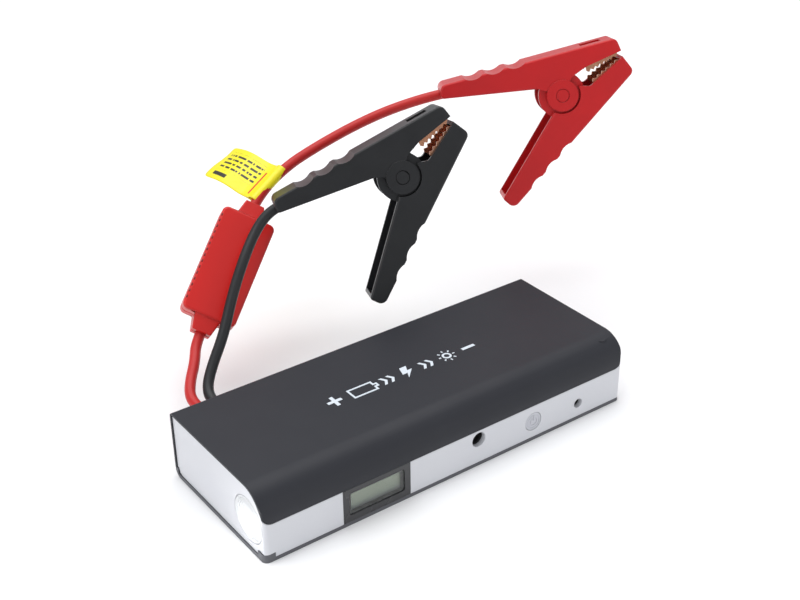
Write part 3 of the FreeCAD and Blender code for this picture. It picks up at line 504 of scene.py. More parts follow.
@dataclass(frozen=True)
class FoamCells(Finish):
    """Open-cell foam: dark, matt, pitted, with painted shade in its hollows."""

    name: str
    colour: str
    hollow_shade_colour: str
    cell_mm: float = 0.8
    pit_depth_mm: float = 0.2

    def dress(self, tree: Tree, surface: Node) -> None:
        """Builds a pitted relief from cells, with painted shade darkening each hollow at its middle."""
        pit_relief_and_shade = cells(tree, self.cell_mm)
        set_inputs(tree, surface, {
            # Painted shade: each hollow is darker towards its middle.
            "Base Color": tinted(tree, pit_relief_and_shade, linear(self.hollow_shade_colour), linear(self.colour)),
            "Normal": relief(tree, pit_relief_and_shade, self.pit_depth_mm),
            "Roughness": 0.95,
        })


# Soft-touch lacquer over ABS: dark, nearly matt, with a faint blue sheen at a low angle. Its grain of about
# 0.1 mm is drawn at 0.55 mm so that it shows.
SHELL = Moulding("soft_touch_lacquer", "#323338", "#2d2e33", 0.45, 0.55, 0.014, specular=0.2)
# Moulded ABS with a fine spark-eroded grain: pale and satin.
BAND = Moulding("satin_moulded_abs", "#d5d6da", "#cfd0d5", 0.40, 0.45, 0.006)
# The same ABS in the button, whose grooves are too fine for a wide edge.
BUTTON = Moulding("fine_moulded_abs", "#cbccd2", "#c4c5cc", 0.40, 0.45, 0.006, edge_mm=0.08)
# Moulded ABS, mid grey, a little rougher than the band.
TRAY = Moulding("grained_moulded_abs", "#5c5d62", "#535459", 0.50, 0.5, 0.012)
# Moulded ABS from a polished tool: dark and smooth, it mirrors softly.
BEZEL = Moulding("polished_moulded_abs", "#38383a", "#323234", 0.28, 0.6, 0.002)
# Glass-filled nylon, moulded: satin, with clouds where the fibre lies near the surface.
BLACK_NYLON = Moulding("black_glass_filled_nylon", "#1b1c1e", "#222325", 0.36, 0.7, 0.012, 9.0, specular=0.4)
RED_NYLON = Moulding("red_glass_filled_nylon", "#c81b1e", "#b8161a", 0.34, 0.7, 0.010, 12.0, specular=0.4)
# Polycarbonate, moulded in red for the in-line box: smooth and slightly glossy.
RED_CASE = Moulding("red_moulded_polycarbonate", "#d01f1a", "#c41a16", 0.33, 0.6, 0.006, 18.0, specular=0.4)
# A darker copy of the same polycarbonate for the vent pockets: painted shade, where hardly any light gets.
PAINTED_VENT_SHADE = Moulding("painted_shade_polycarbonate", "#6d0f0d", "#640d0c", 0.5, 0.6, 0.006, 18.0, edge_mm=0.1)
# Silicone rubber, extruded: dusty and soft, with a broad highlight.
RED_SILICONE = Moulding(
    "red_extruded_silicone", "#c4221f", "#b81d1b", 0.42, 0.9, 0.014, 7.0, ior=1.43, sheen=0.05,
)
BLACK_SILICONE = Moulding("black_extruded_silicone", "#1d1e20", "#232426", 0.42, 0.9, 0.014, 7.0, ior=1.43)
# Nylon socket bodies: black and matt.
SOCKET_NYLON = Moulding("black_moulded_nylon", "#1b1b1c", "#222223", 0.5, 0.4, 0.01)
# White diffuser sheet behind the display.
DIFFUSER = Moulding("white_diffuser_sheet", "#e4e4df", "#dadad4", 0.7, 0.5, 0.01)
# Phosphor-coated ceramic diode.
PHOSPHOR = Moulding("phosphor_ceramic", "#f0df8a", "#e6d278", 0.6, 0.3, 0.01)
# Screen ink, slightly blue white: thin and satin, with pinholes that show as clouds.
INK = Moulding("screen_printed_ink", "#dfe7ee", "#d3dce5", 0.45, 0.4, 0.004, 3.0)
# Copper plate on bent steel strip: warm, with dull patches from handling.
COPPER = PlatedMetal("copper_plated_steel", "#e8b597", "#c07c58", 0.28, 0.3)
# Nickel plate: bright, slightly warm.
NICKEL = PlatedMetal("nickel_plated_brass", "#d9d5cc", "#bdb8ae", 0.22, 0.2)
# Spring wire, drawn and bright.
SPRING_WIRE = PlatedMetal("drawn_spring_steel", "#b9babd", "#8e9094", 0.30, 0.2)
# Zinc-plated screws: grey and cloudy.
ZINC = PlatedMetal("zinc_plated_steel", "#b2b4b8", "#8f9196", 0.38, 0.3)
# Vacuum-metallised plastic: a clean mirror.
MIRROR = PlatedMetal("vacuum_metallised_cup", "#eeeef0", "#e2e2e5", 0.12, 0.6)
# Aluminium laminate of the pouch cells: bright foil with a soft crinkle.
FOIL = PlatedMetal("aluminium_laminate_foil", "#c9cbd0", "#b4b6bc", 0.35, 2.0, (1.0, 1.0, 1.0))
PANE = ClearPane("clear_cast_acrylic", "#f4f7f5")
LENS = GlowingLens("lit_frosted_polycarbonate", "#fbfdff", (-84.0, -19.6, 10.2), 9.5, 0.45)
# Liquid-crystal glass with painted shade along its lower edge.
CRYSTAL_WITH_PAINTED_SHADE = LiquidCrystal("liquid_crystal_glass_painted_shade", "#a9b39d", "#5c646a", 3.2, 9.5)
TAPE = PrintedTape("printed_vinyl_tape", "#f2e41c", "#2b2a22", "#d8281f")
BOARD = SolderMask("green_solder_mask", "#16542c", "#2e7a48")
FOAM = FoamCells("open_cell_foam", "#3a3a3b", "#19191a")


# ---- Making pieces ----


def put_in(name: str, data: bpy.types.ID, place: Matrix | None = None) -> Piece:
    """Puts a new object into the scene.

    Args:
        name: Name of the object.
        data: Its mesh, curve, light or camera.
        place: Where it goes, where that is not the frame's own origin.

    Returns:
        The object.
    """
    thing = bpy.data.objects.new(name, data)
    if place is not None:
        thing.matrix_world = place
    bpy.context.scene.collection.objects.link(thing)
    return thing


def make_piece(
    bm: Form, name: str, finish: Finish, body: Body, stands_for: Sequence[str] = (),
) -> Piece:
    """Turns a finished bmesh into a piece that rides on a body.

    Args:
        bm: The shape in metres, in the frame; it is freed.
        name: Name of the piece.
        finish: Its finish.
        body: The body that it rides on.
        stands_for: CAD nodes that it replaces.

    Returns:
        The piece.
    """
    for face in bm.faces:
        face.smooth = True
    mesh = bpy.data.meshes.new(name)
    bm.to_mesh(mesh)
    bm.free()
    mesh.materials.append(finish.material())
    piece = put_in(name, mesh)
    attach(piece, body.value)
    if stands_for:
        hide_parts(*stands_for)
    LOG.info("made %s on %s", name, body.value)
    return piece


def even_shading(piece: Piece) -> Piece:
    """Evens a piece's shading across its flat faces, up to its sharp edges, and returns it."""
    shading = piece.modifiers.new("even_shading", "WEIGHTED_NORMAL")
    shading.keep_sharp = True
    return piece


def soften(piece: Piece, width_mm: float, segments: int = 3) -> Piece:
    """Rounds a piece's sharp edges by a width and evens its shading.

    Args:
        piece: The piece.
        width_mm: Width of the rounding.
        segments: Steps across the rounding.

    Returns:
        The same piece.
    """
    bevel = piece.modifiers.new("edge_round", "BEVEL")
    bevel.limit_method = "ANGLE"
    bevel.angle_limit = ROUNDED_FROM
    bevel.width = width_mm * MM
    bevel.segments = segments
    bevel.use_clamp_overlap = False
    bevel.miter_outer = "MITER_ARC"
    return even_shading(piece)


def node_form(node: str) -> Form:
    """A CAD node's form as one closed skin: its loose triangles joined.

    Args:
        node: Name of the CAD node.

    Returns:
        The form in metres, in the frame.
    """
    bm = bmesh.new()
    bm.from_mesh(frame["nodes"][node].data)
    bmesh.ops.remove_doubles(bm, verts=bm.verts, dist=0.002 * MM)
    return bm


def moulded(node: str, finish: Finish, edge_mm: float, segments: int = 3) -> Piece:
    """A CAD node's form on the pack with its edges rounded, which stands for the node.

    Args:
        node: Name of the CAD node.
        finish: The finish that it gets.
        edge_mm: Width of the edge rounding.
        segments: Steps across the rounding.

    Returns:
        The piece.
    """
    piece = make_piece(node_form(node), node + "_finished", finish, Body.PACK, [node])
    return soften(piece, edge_mm, segments)


def crisp(node: str, finish: Finish, body: Body = Body.PACK) -> Piece:
    """A CAD node's form with its own edges, which stands for the node; its finish rounds them in shading.

    Args:
        node: Name of the CAD node.
        finish: The finish that it gets.
        body: The body that it rides on.

    Returns:
        The piece.
    """
    bm = node_form(node)
    for edge in bm.edges:
        edge.smooth = len(edge.link_faces) == 2 and edge.calc_face_angle() < SHARP_FROM
    return even_shading(make_piece(bm, node + "_finished", finish, body, [node]))


def inward(points: Sequence[Corner], gap: float) -> list[Corner]:
    """Corners of an outline drawn inside another at an even gap.

    Args:
        points: Corners of the outer outline, anticlockwise.
        gap: Distance between the two outlines.

    Returns:
        The inner corners, in the same order.
    """
    corners = [Vector(point) for point in points]
    inner = []
    for before, corner, after in zip(corners[-1:] + corners[:-1], corners, corners[1:] + corners[:1]):
        first = (corner - before).normalized()
        last = (after - corner).normalized()
        first_side = Vector((-first.y, first.x))
        last_side = Vector((-last.y, last.x))
        inner.append(tuple(corner + (first_side + last_side) * gap / (1 + first_side.dot(last_side))))
    return inner


def ring_faces(bm: Form, outer: Sequence[Point], inner: Sequence[Point]) -> None:
    """Fills the space between two outlines of as many corners with faces."""
    rims = [[bm.verts.new(point) for point in outline] for outline in (outer, inner)]
    for index in range(len(outer)):
        after = (index + 1) % len(outer)
        bm.faces.new((rims[0][index], rims[0][after], rims[1][after], rims[1][index]))


def dress_node(node: str, finish: Finish) -> None:
    """Gives a CAD node that stays as it is its finish."""
    held = frame["nodes"][node]
    for holder in held.material_slots:
        holder.link = "OBJECT"
        holder.material = finish.material()
    LOG.info("dressed %s", node)


def turned(profile_mm: Sequence[Corner], steps: int, place: Matrix) -> Form:
    """A turned form: a profile spun a full turn.

    Args:
        profile_mm: Radius and height of each point, from one end to the other.
        steps: Steps in the full turn.
        place: Where the form goes; its axis is the place's Z.

    Returns:
        The form, with its normals outwards.
    """
    bm = bmesh.new()
    points = [bm.verts.new((radius * MM, 0.0, height * MM)) for radius, height in profile_mm]
    edges = [bm.edges.new(pair) for pair in zip(points, points[1:])]
    bmesh.ops.spin(
        bm, geom=points + edges, cent=(0, 0, 0), axis=(0, 0, 1), angle=math.tau, steps=steps, use_merge=True,
    )
    bmesh.ops.remove_doubles(bm, verts=bm.verts, dist=0.001 * MM)
    bmesh.ops.recalc_face_normals(bm, faces=bm.faces)
    bmesh.ops.transform(bm, matrix=place, verts=bm.verts)
    return bm


def facing(point_mm: Point, direction: Point | Vector) -> Matrix:
    """A place at a point with its Z along a direction."""
    turn = Vector(direction).to_track_quat("Z", "Y").to_matrix().to_4x4()
    return Matrix.Translation(Vector(point_mm) * MM) @ turn


def axes_place(origin_mm: Vector, along: Vector, out: Vector) -> Matrix:
    """A place with its X exactly along one direction and its Z as near as it can be to another."""
    x = along.normalized()
    y = out.cross(x).normalized()
    z = x.cross(y)
    turn = Matrix((x, y, z)).transposed().to_4x4()
    return Matrix.Translation(origin_mm * MM) @ turn


# ---- The pack ----


@dataclass(frozen=True)
class PackCase:
    """Shell, side frame and tray of the pack."""

    def build(self) -> None:
        """Builds the three mouldings of the case."""
        crisp("top_shell", SHELL)
        crisp("side_frame", BAND)
        crisp("bottom_tray", TRAY)


@dataclass(frozen=True)
class TopMark:
    """Row of plain printed signs on the shell: plus, battery, bolt, lamp and minus, with arrows between."""

    height_mm: float = 7.4
    line_mm: float = 1.5
    wall_mm: float = 0.85
    level_mm: float = 28.49
    ink_mm: float = 0.04
    middle_y_mm: float = 1.0
    arm_share: float = 0.42

    def outline(self, points_mm: Sequence[Corner], x_mm: float, name: str, hollow: bool = False) -> None:
        """One flat sign from its outline.

        Args:
            points_mm: Corners round the sign, anticlockwise.
            x_mm: Where the sign's middle is along the pack.
            name: Name of the piece.
            hollow: Leaves only a line round the outline.
        """
        bm = bmesh.new()
        outer = [(x * MM, y * MM, 0.0) for x, y in points_mm]
        if hollow:
            inner = [(x * MM, y * MM, 0.0) for x, y in inward(points_mm, self.wall_mm)]
            ring_faces(bm, outer, inner)
        else:
            bm.faces.new([bm.verts.new(point) for point in outer])
        self.print_sign(bm, x_mm, name)

    def print_sign(self, bm: Form, x_mm: float, name: str) -> None:
        """Thickens a flat sign into a film of ink and puts it on the shell."""
        grown = bmesh.ops.extrude_face_region(bm, geom=list(bm.faces))["geom"]
        upper = [item for item in grown if isinstance(item, bmesh.types.BMVert)]
        bmesh.ops.translate(bm, verts=upper, vec=(0, 0, self.ink_mm * MM))
        bmesh.ops.recalc_face_normals(bm, faces=bm.faces)
        bmesh.ops.translate(bm, verts=bm.verts, vec=Vector((x_mm, self.middle_y_mm, self.level_mm)) * MM)
        piece = make_piece(bm, name, INK, Body.PACK)
        for polygon in piece.data.polygons:
            polygon.use_smooth = False

    def cross(self) -> list[Corner]:
        """Corners of a plus sign."""
        arm, half = self.height_mm * self.arm_share, self.line_mm / 2
        return [
            (-half, -arm), (half, -arm), (half, -half), (arm, -half), (arm, half), (half, half),
            (half, arm), (-half, arm), (-half, half), (-arm, half), (-arm, -half), (-half, -half),
        ]

    def lamp(self, x_mm: float, name: str) -> None:
        """A ring with eight rays round it."""
        bm = bmesh.new()
        rim = [bm.verts.new((1.1 * MM, 0, 0)), bm.verts.new((2.0 * MM, 0, 0))]
        bmesh.ops.spin(
            bm, geom=rim + [bm.edges.new(rim)], cent=(0, 0, 0), axis=(0, 0, 1), angle=math.tau, steps=40,
            use_merge=True,
        )
        corners = [(2.7, -0.32), (3.8, -0.32), (3.8, 0.32), (2.7, 0.32)]
        ray = bm.faces.new([bm.verts.new((x * MM, y * MM, 0)) for x, y in corners])
        bmesh.ops.spin(
            bm, geom=[ray, *ray.verts, *ray.edges], cent=(0, 0, 0), axis=(0, 0, 1),
            angle=math.tau * 7 / 8, steps=7, use_duplicate=True,
        )
        bmesh.ops.remove_doubles(bm, verts=bm.verts, dist=0.001 * MM)
        bmesh.ops.recalc_face_normals(bm, faces=bm.faces)
        self.print_sign(bm, x_mm, name)

    def build(self) -> None:
        """Prints the row of signs."""
        half = self.height_mm / 2
        self.outline(self.cross(), -32.0, "mark_plus")
        cell = [(-6.0, -half + 0.6), (5.2, -half + 0.6), (5.2, -1.2), (6.6, -1.2), (6.6, 1.2), (5.2, 1.2)]
        cell += [(5.2, half - 0.6), (-6.0, half - 0.6)]
        self.outline(cell, -19.0, "mark_battery", hollow=True)
        for number, x in enumerate((-9.4, -6.2, 9.0, 12.2)):
            arrow = [(-1.4, -2.4), (-0.1, -2.4), (1.4, 0.0), (-0.1, 2.4), (-1.4, 2.4), (0.1, 0.0)]
            self.outline(arrow, x, f"mark_arrow_{number + 1}")
        bolt = [(-1.9, -half), (2.7, 0.9), (0.5, 0.9), (1.9, half), (-1.3, half), (-2.7, -0.7), (-0.5, -0.7)]
        self.outline(bolt, 1.4, "mark_bolt")
        self.lamp(20.4, "mark_lamp")
        reach, line = self.height_mm * self.arm_share, self.line_mm / 2
        self.outline([(-reach, -line), (reach, -line), (reach, line), (-reach, line)], 31.0, "mark_minus")


@dataclass(frozen=True)
class Torch:
    """Ringed lens in the left end, its reflector and its diode."""

    back: Point = (-81.7, -21.7, 13.1)
    radius_mm: float = 9.2
    thick_mm: float = 1.8

    def rings(self) -> list[Corner]:
        """Profile of the lens: a flat back, a raised rim and stepped rings round a low dome."""
        top = self.thick_mm
        rim = self.radius_mm - 0.02
        profile = [(0.0, 0.0), (rim, 0.0), (rim, top - 0.3), (self.radius_mm - 0.3, top)]
        profile += [(8.3, top), (8.05, top - 0.55)]
        for radius in (7.0, 5.9, 4.8, 3.7):
            profile += [(radius + 0.12, top - 0.18), (radius, top - 0.55)]
        return profile + [(2.4, top - 0.3), (1.1, top - 0.12), (0.0, top - 0.06)]

    def build(self) -> None:
        """Builds the lens and dresses what is behind it."""
        lens = turned(self.rings(), 72, facing(self.back, (-1, 0, 0)))
        soften(make_piece(lens, "torch_lens_rings", LENS, Body.PACK, ["torch_lens"]), 0.06, 2)
        moulded("torch_reflector", MIRROR, 0.05, segments=1)
        dress_node("torch_board", BOARD)
        dress_node("torch_led", PHOSPHOR)


@dataclass(frozen=True)
class Display:
    """Bezel, window and liquid-crystal glass."""

    mask_inset_mm: float = 1.1
    mask_mm: float = 0.3

    def build(self) -> None:
        """Builds the bezel, the pale frame behind the window and the clear window."""
        crisp("display_bezel", BEZEL)
        moulded("display_window", PANE, 0.12, segments=2)
        low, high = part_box("display_window")
        corners = [(low.x, low.z), (high.x, low.z), (high.x, high.z), (low.x, high.z)]
        thick = self.mask_mm * MM
        level = high.y + thick
        outer = [(x, level, z) for x, z in corners]
        inner = [(x, level, z) for x, z in inward(corners, self.mask_inset_mm * MM)]
        bm = bmesh.new()
        ring_faces(bm, outer, inner)
        bmesh.ops.solidify(bm, geom=bm.faces, thickness=thick)
        bmesh.ops.recalc_face_normals(bm, faces=bm.faces)
        soften(make_piece(bm, "display_mask", DIFFUSER, Body.PACK), 0.05, 1)
        dress_node("display_glass", CRYSTAL_WITH_PAINTED_SHADE)
        dress_node("display_backlight", DIFFUSER)


@dataclass(frozen=True)
class Controls:
    """Power button, barrel sockets and their metal linings."""

    front_mm: float = -29.9
    lining_start_mm: float = 2.4
    lining_wall_mm: float = 0.12

    def lining(self, name: str, x: float, z: float, radius: float, depth: float) -> None:
        """A thin metal sleeve inside a socket's bore.

        Args:
            name: Name of the piece.
            x: Middle of the bore along the pack.
            z: Middle of the bore above the floor.
            radius: Outer radius of the sleeve.
            depth: Length of the sleeve.
        """
        mouth = self.lining_start_mm
        inner = radius - self.lining_wall_mm
        wall = [(radius, mouth), (radius, depth), (inner, depth), (inner, mouth), (radius, mouth)]
        bm = turned(wall, 48, facing((x, self.front_mm, z), (0, 1, 0)))
        make_piece(bm, name, NICKEL, Body.PACK)

    def build(self) -> None:
        """Builds the button, both sockets with their pins and linings, and dresses the switch."""
        crisp("power_button", BUTTON, Body.BUTTON)
        for socket in ("output", "charge"):
            moulded(f"{socket}_socket", SOCKET_NYLON, 0.15, segments=2)
            moulded(f"{socket}_pin", NICKEL, 0.2, segments=2)
        self.lining("output_lining", 10.0, 11.9, 2.73, 8.5)
        self.lining("charge_lining", 60.5, 7.6, 1.73, 6.5)
        dress_node("power_switch", SOCKET_NYLON)


@dataclass(frozen=True)
class Inside:
    """What the closed case hides: board, cells, foam and screws."""

    screw_edge_mm: float = 0.2

    def build(self) -> None:
        """Dresses the hidden nodes and finishes the screws, whose heads show underneath."""
        dress_node("circuit_board", BOARD)
        for number in (1, 2, 3):
            dress_node(f"battery_cell_{number}", FOIL)
        dress_node("foam_pad", FOAM)
        moulded("case_screws", ZINC, self.screw_edge_mm, segments=2)


# ---- Plug, leads, box and label ----


@dataclass(frozen=True)
class Lead:
    """One silicone lead along its route."""

    name: str
    route_mm: tuple[Point, ...]
    length_mm: float
    finish: Finish
    slot: str
    diameter_mm: float = 4.4

    def build(self) -> Piece:
        """Lays the lead as a smooth curve along its route and returns it."""
        curve = bpy.data.curves.new(self.name + "_jacket", "CURVE")
        curve.dimensions = "3D"
        spline = curve.splines.new("NURBS")
        spline.points.add(len(self.route_mm) - 1)
        for knot, place in zip(spline.points, self.route_mm):
            knot.co = (*(Vector(place) * MM), 1.0)
        spline.order_u = 3
        spline.use_endpoint_u = True
        curve.resolution_u = 14
        curve.bevel_depth = self.diameter_mm / 2 * MM
        curve.bevel_resolution = 7
        curve.use_fill_caps = True
        curve.materials.append(self.finish.material())
        piece = put_in(self.name + "_jacket", curve)
        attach(piece, Body.PACK.value)
        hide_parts(self.name)
        LOG.info("laid %s", self.name)
        return piece


RED_LOWER = Lead(
    "red_lead_lower",
    (
        (-63.4, 42.1, 13.0), (-64.4, 48.6, 13.3), (-64.3, 55.2, 14.6), (-60.6, 61.4, 17.0),
        (-54.6, 67.9, 20.6), (-50.2, 74.8, 23.8), (-45.2, 77.5, 28.2),
    ),
    45.2, RED_SILICONE, "red_lead",
)
RED_UPPER = Lead(
    "red_lead_upper",
    (
        (-7.1, 98.3, 61.6), (-2.1, 101.0, 66.0), (13.0, 103.1, 74.5), (31.0, 102.9, 80.2),
        (49.5, 101.2, 85.6), (66.5, 98.4, 89.6), (85.6, 91.9, 93.4), (99.4, 83.7, 96.0),
    ),
    117.1, RED_SILICONE, "red_lead",
)
BLACK = Lead(
    "black_lead",
    (
        (-57.0, 42.1, 13.0), (-58.0, 48.4, 13.3), (-57.0, 54.6, 15.6), (-51.6, 59.8, 20.8),
        (-42.3, 64.8, 30.4), (-34.3, 70.2, 43.0), (-24.5, 76.5, 53.6), (-15.1, 82.1, 61.2),
        (-8.2, 83.4, 66.6), (-0.9, 81.4, 69.9), (8.6, 78.1, 73.4),
    ),
    107.5, BLACK_SILICONE, "black_lead",
)


@dataclass(frozen=True)
class JumpPlug:
    """Plug in the rear wall, with a tapered ribbed boot round each lead."""

    start_y_mm: float = 38.0
    boot_length_mm: float = 10.0
    root_radius_mm: float = 3.0
    tip_radius_mm: float = 2.45
    bore_radius_mm: float = 2.21
    ribs: int = 4

    def boot_profile(self) -> list[Corner]:
        """Profile of a boot that narrows from root to tip, with a groove between each two ribs."""
        profile = [(self.bore_radius_mm, 0.0), (self.root_radius_mm, 0.0)]
        for rib in range(self.ribs):
            share = (rib + 0.5) / self.ribs
            radius = self.root_radius_mm + (self.tip_radius_mm - self.root_radius_mm) * share
            height = self.boot_length_mm * share
            profile += [(radius + 0.15, height - 0.7), (radius + 0.1, height + 0.3)]
            profile += [(radius - 0.35, height + 0.5), (radius - 0.4, height + 1.0)]
        length = self.boot_length_mm
        return profile + [(self.tip_radius_mm, length), (self.bore_radius_mm, length)]

    def build(self) -> None:
        """Builds the plug, its socket and both boots."""
        moulded("jump_socket", SOCKET_NYLON, 0.25)
        moulded("lead_plug", BLACK_NYLON, 0.4)
        dress_node("socket_pins", NICKEL)
        dress_node("plug_contacts", NICKEL)
        for name, lead in (("boot_plus", RED_LOWER), ("boot_minus", BLACK)):
            x, _, z = lead.route_mm[0]
            place = facing((x, self.start_y_mm, z), (0, 1, 0))
            make_piece(turned(self.boot_profile(), 40, place), name, lead.finish, Body.PACK)


@dataclass(frozen=True)
class InlineBox:
    """Protection box in the red lead: two halves with tapered necks."""

    lower_end: Point = (-46.9, 76.6, 26.7)
    upper_end: Point = (-5.4, 99.2, 63.1)
    across: Point = (-0.74, 0.55, 0.43)
    half_length_mm: float = 23.5
    half_width_mm: float = 11.5
    half_thick_mm: float = 5.5
    vent_count: int = 15
    vent_pitch_mm: float = 2.7
    neck_mm: float = 6.3
    taper: float = 0.74
    flat_taper: float = 0.86
    bore_radius_mm: float = 2.6
    vent_mm: Point = (1.15, 0.7, 0.7)
    vent_inset_mm: Corner = (0.42, 0.62)

    def place(self) -> Matrix:
        """The box's own place: X along it, Z across it."""
        lower, upper = Vector(self.lower_end), Vector(self.upper_end)
        return axes_place((lower + upper) / 2, upper - lower, Vector(self.across))

    def half(self, node: str) -> Piece:
        """One half of the box, its necks drawn in towards their ends.

        Args:
            node: Name of the half's CAD node.

        Returns:
            The piece.
        """
        place = self.place()
        bm = node_form(node)
        bmesh.ops.transform(bm, matrix=place.inverted(), verts=bm.verts)
        reach = (self.half_length_mm + self.neck_mm - 0.05) * MM
        bore = self.bore_radius_mm * MM
        ends = [v for v in bm.verts if abs(v.co.x) > reach and v.co.yz.length > bore]
        bmesh.ops.scale(bm, vec=(1.0, self.flat_taper, self.taper), verts=ends)
        bmesh.ops.transform(bm, matrix=place, verts=bm.verts)
        return soften(make_piece(bm, node + "_finished", RED_CASE, Body.PACK, [node]), 0.5, 3)

    def vents(self) -> None:
        """Builds the row of small vent pockets along one long edge of the front half, as dark blocks in
        painted shade.
        """
        bm = bmesh.new()
        size = Matrix.Diagonal((*(Vector(self.vent_mm) * MM), 1.0))
        front = -self.half_thick_mm + self.vent_inset_mm[0]
        edge = self.half_width_mm - self.vent_inset_mm[1]
        for index in range(self.vent_count):
            x = (index - (self.vent_count - 1) / 2) * self.vent_pitch_mm
            spot = Matrix.Translation(Vector((x, front, edge)) * MM)
            bmesh.ops.create_cube(bm, size=1.0, matrix=self.place() @ spot @ size)
        # The blocks carry painted shade for the inside of the pockets.
        make_piece(bm, "inline_box_painted_vent_shade", PAINTED_VENT_SHADE, Body.PACK)

    def build(self) -> list[Piece]:
        """Builds both halves with their vents and dresses the board between them."""
        dress_node("inline_board", BOARD)
        self.vents()
        return [self.half("inline_box_front"), self.half("inline_box_back")]


@dataclass(frozen=True)
class FlagLabel:
    """Tape folded round the red lead and stuck to itself, its free end curling."""

    middle: Point = (3.7, 101.8, 69.3)
    along: Point = (15.1, 2.1, 8.5)
    out: Point = (-0.17, 0.98, 0.07)
    width_mm: float = 19.0
    reach_mm: float = 33.3
    flat_mm: float = 9.3
    strips: int = 8
    tape_mm: float = 0.14
    half_gap_mm: float = 0.12
    round_lead_mm: float = 8.0
    tilt_mm: float = 0.9
    ripple_mm: float = 0.5
    ripple_turn: float = 3.0

    def profile(self) -> list[Corner]:
        """Side view of the tape, in from its free end, round the lead and out again."""
        wave = [(2.2, self.reach_mm), (0.9, 29.5), (-0.4, 25.0), (-1.1, 20.5)]
        wave += [(-0.7, 16.0), (0.5, 12.0), (0.9, 8.5), (0.5, 5.5)]
        near = [(y + self.half_gap_mm, z) for y, z in wave]
        loop = [(0.7, 3.2), (1.9, 1.7), (2.4, 0.0), (1.7, -1.7), (0.0, -2.42)]
        loop += [(-1.7, -1.7), (-2.4, 0.0), (-1.9, 1.7), (-0.5, 3.2)]
        far = [(y - self.half_gap_mm, z) for y, z in reversed(wave)]
        return near + loop + far

    def build(self) -> Piece:
        bm = bmesh.new()
        first = -self.width_mm / 2 * MM
        points = [bm.verts.new((first, y * MM, z * MM)) for y, z in self.profile()]
        edges = [bm.edges.new(pair) for pair in zip(points, points[1:])]
        step = self.width_mm / self.strips * MM
        for _ in range(self.strips):
            grown = bmesh.ops.extrude_edge_only(bm, edges=edges)["geom"]
            moved = [item for item in grown if isinstance(item, bmesh.types.BMVert)]
            edges = [item for item in grown if isinstance(item, bmesh.types.BMEdge)]
            edges = [edge for edge in edges if all(vert in moved for vert in edge.verts)]
            bmesh.ops.translate(bm, verts=moved, vec=(step, 0, 0))
        for vert in bm.verts:
            lift = max(0.0, vert.co.z / MM - self.flat_mm) / (self.reach_mm - self.flat_mm)
            side = vert.co.x / (self.width_mm / 2 * MM)
            ripple = self.ripple_mm * lift * lift * math.sin(self.ripple_turn * side)
            vert.co.y += (self.tilt_mm * lift * side + ripple) * MM
        layer = bm.loops.layers.uv.new("tape")
        for face in bm.faces:
            for loop in face.loops:
                across = (loop.vert.co.x - first) / (self.width_mm * MM)
                loop[layer].uv = (across, loop.vert.co.z / (self.reach_mm * MM))
        place = axes_place(Vector(self.middle), Vector(self.along), Vector(self.out))
        bmesh.ops.recalc_face_normals(bm, faces=bm.faces)
        bmesh.ops.transform(bm, matrix=place, verts=bm.verts)
        piece = make_piece(bm, "flag_tape", TAPE, Body.PACK, ["flag_label"])
        rounding = piece.modifiers.new("curl", "SUBSURF")
        rounding.levels = rounding.render_levels = 2
        body = piece.modifiers.new("tape_thickness", "SOLIDIFY")
        body.thickness = self.tape_mm * MM
        body.offset = 0.0
        return piece


# ---- Clamps ----


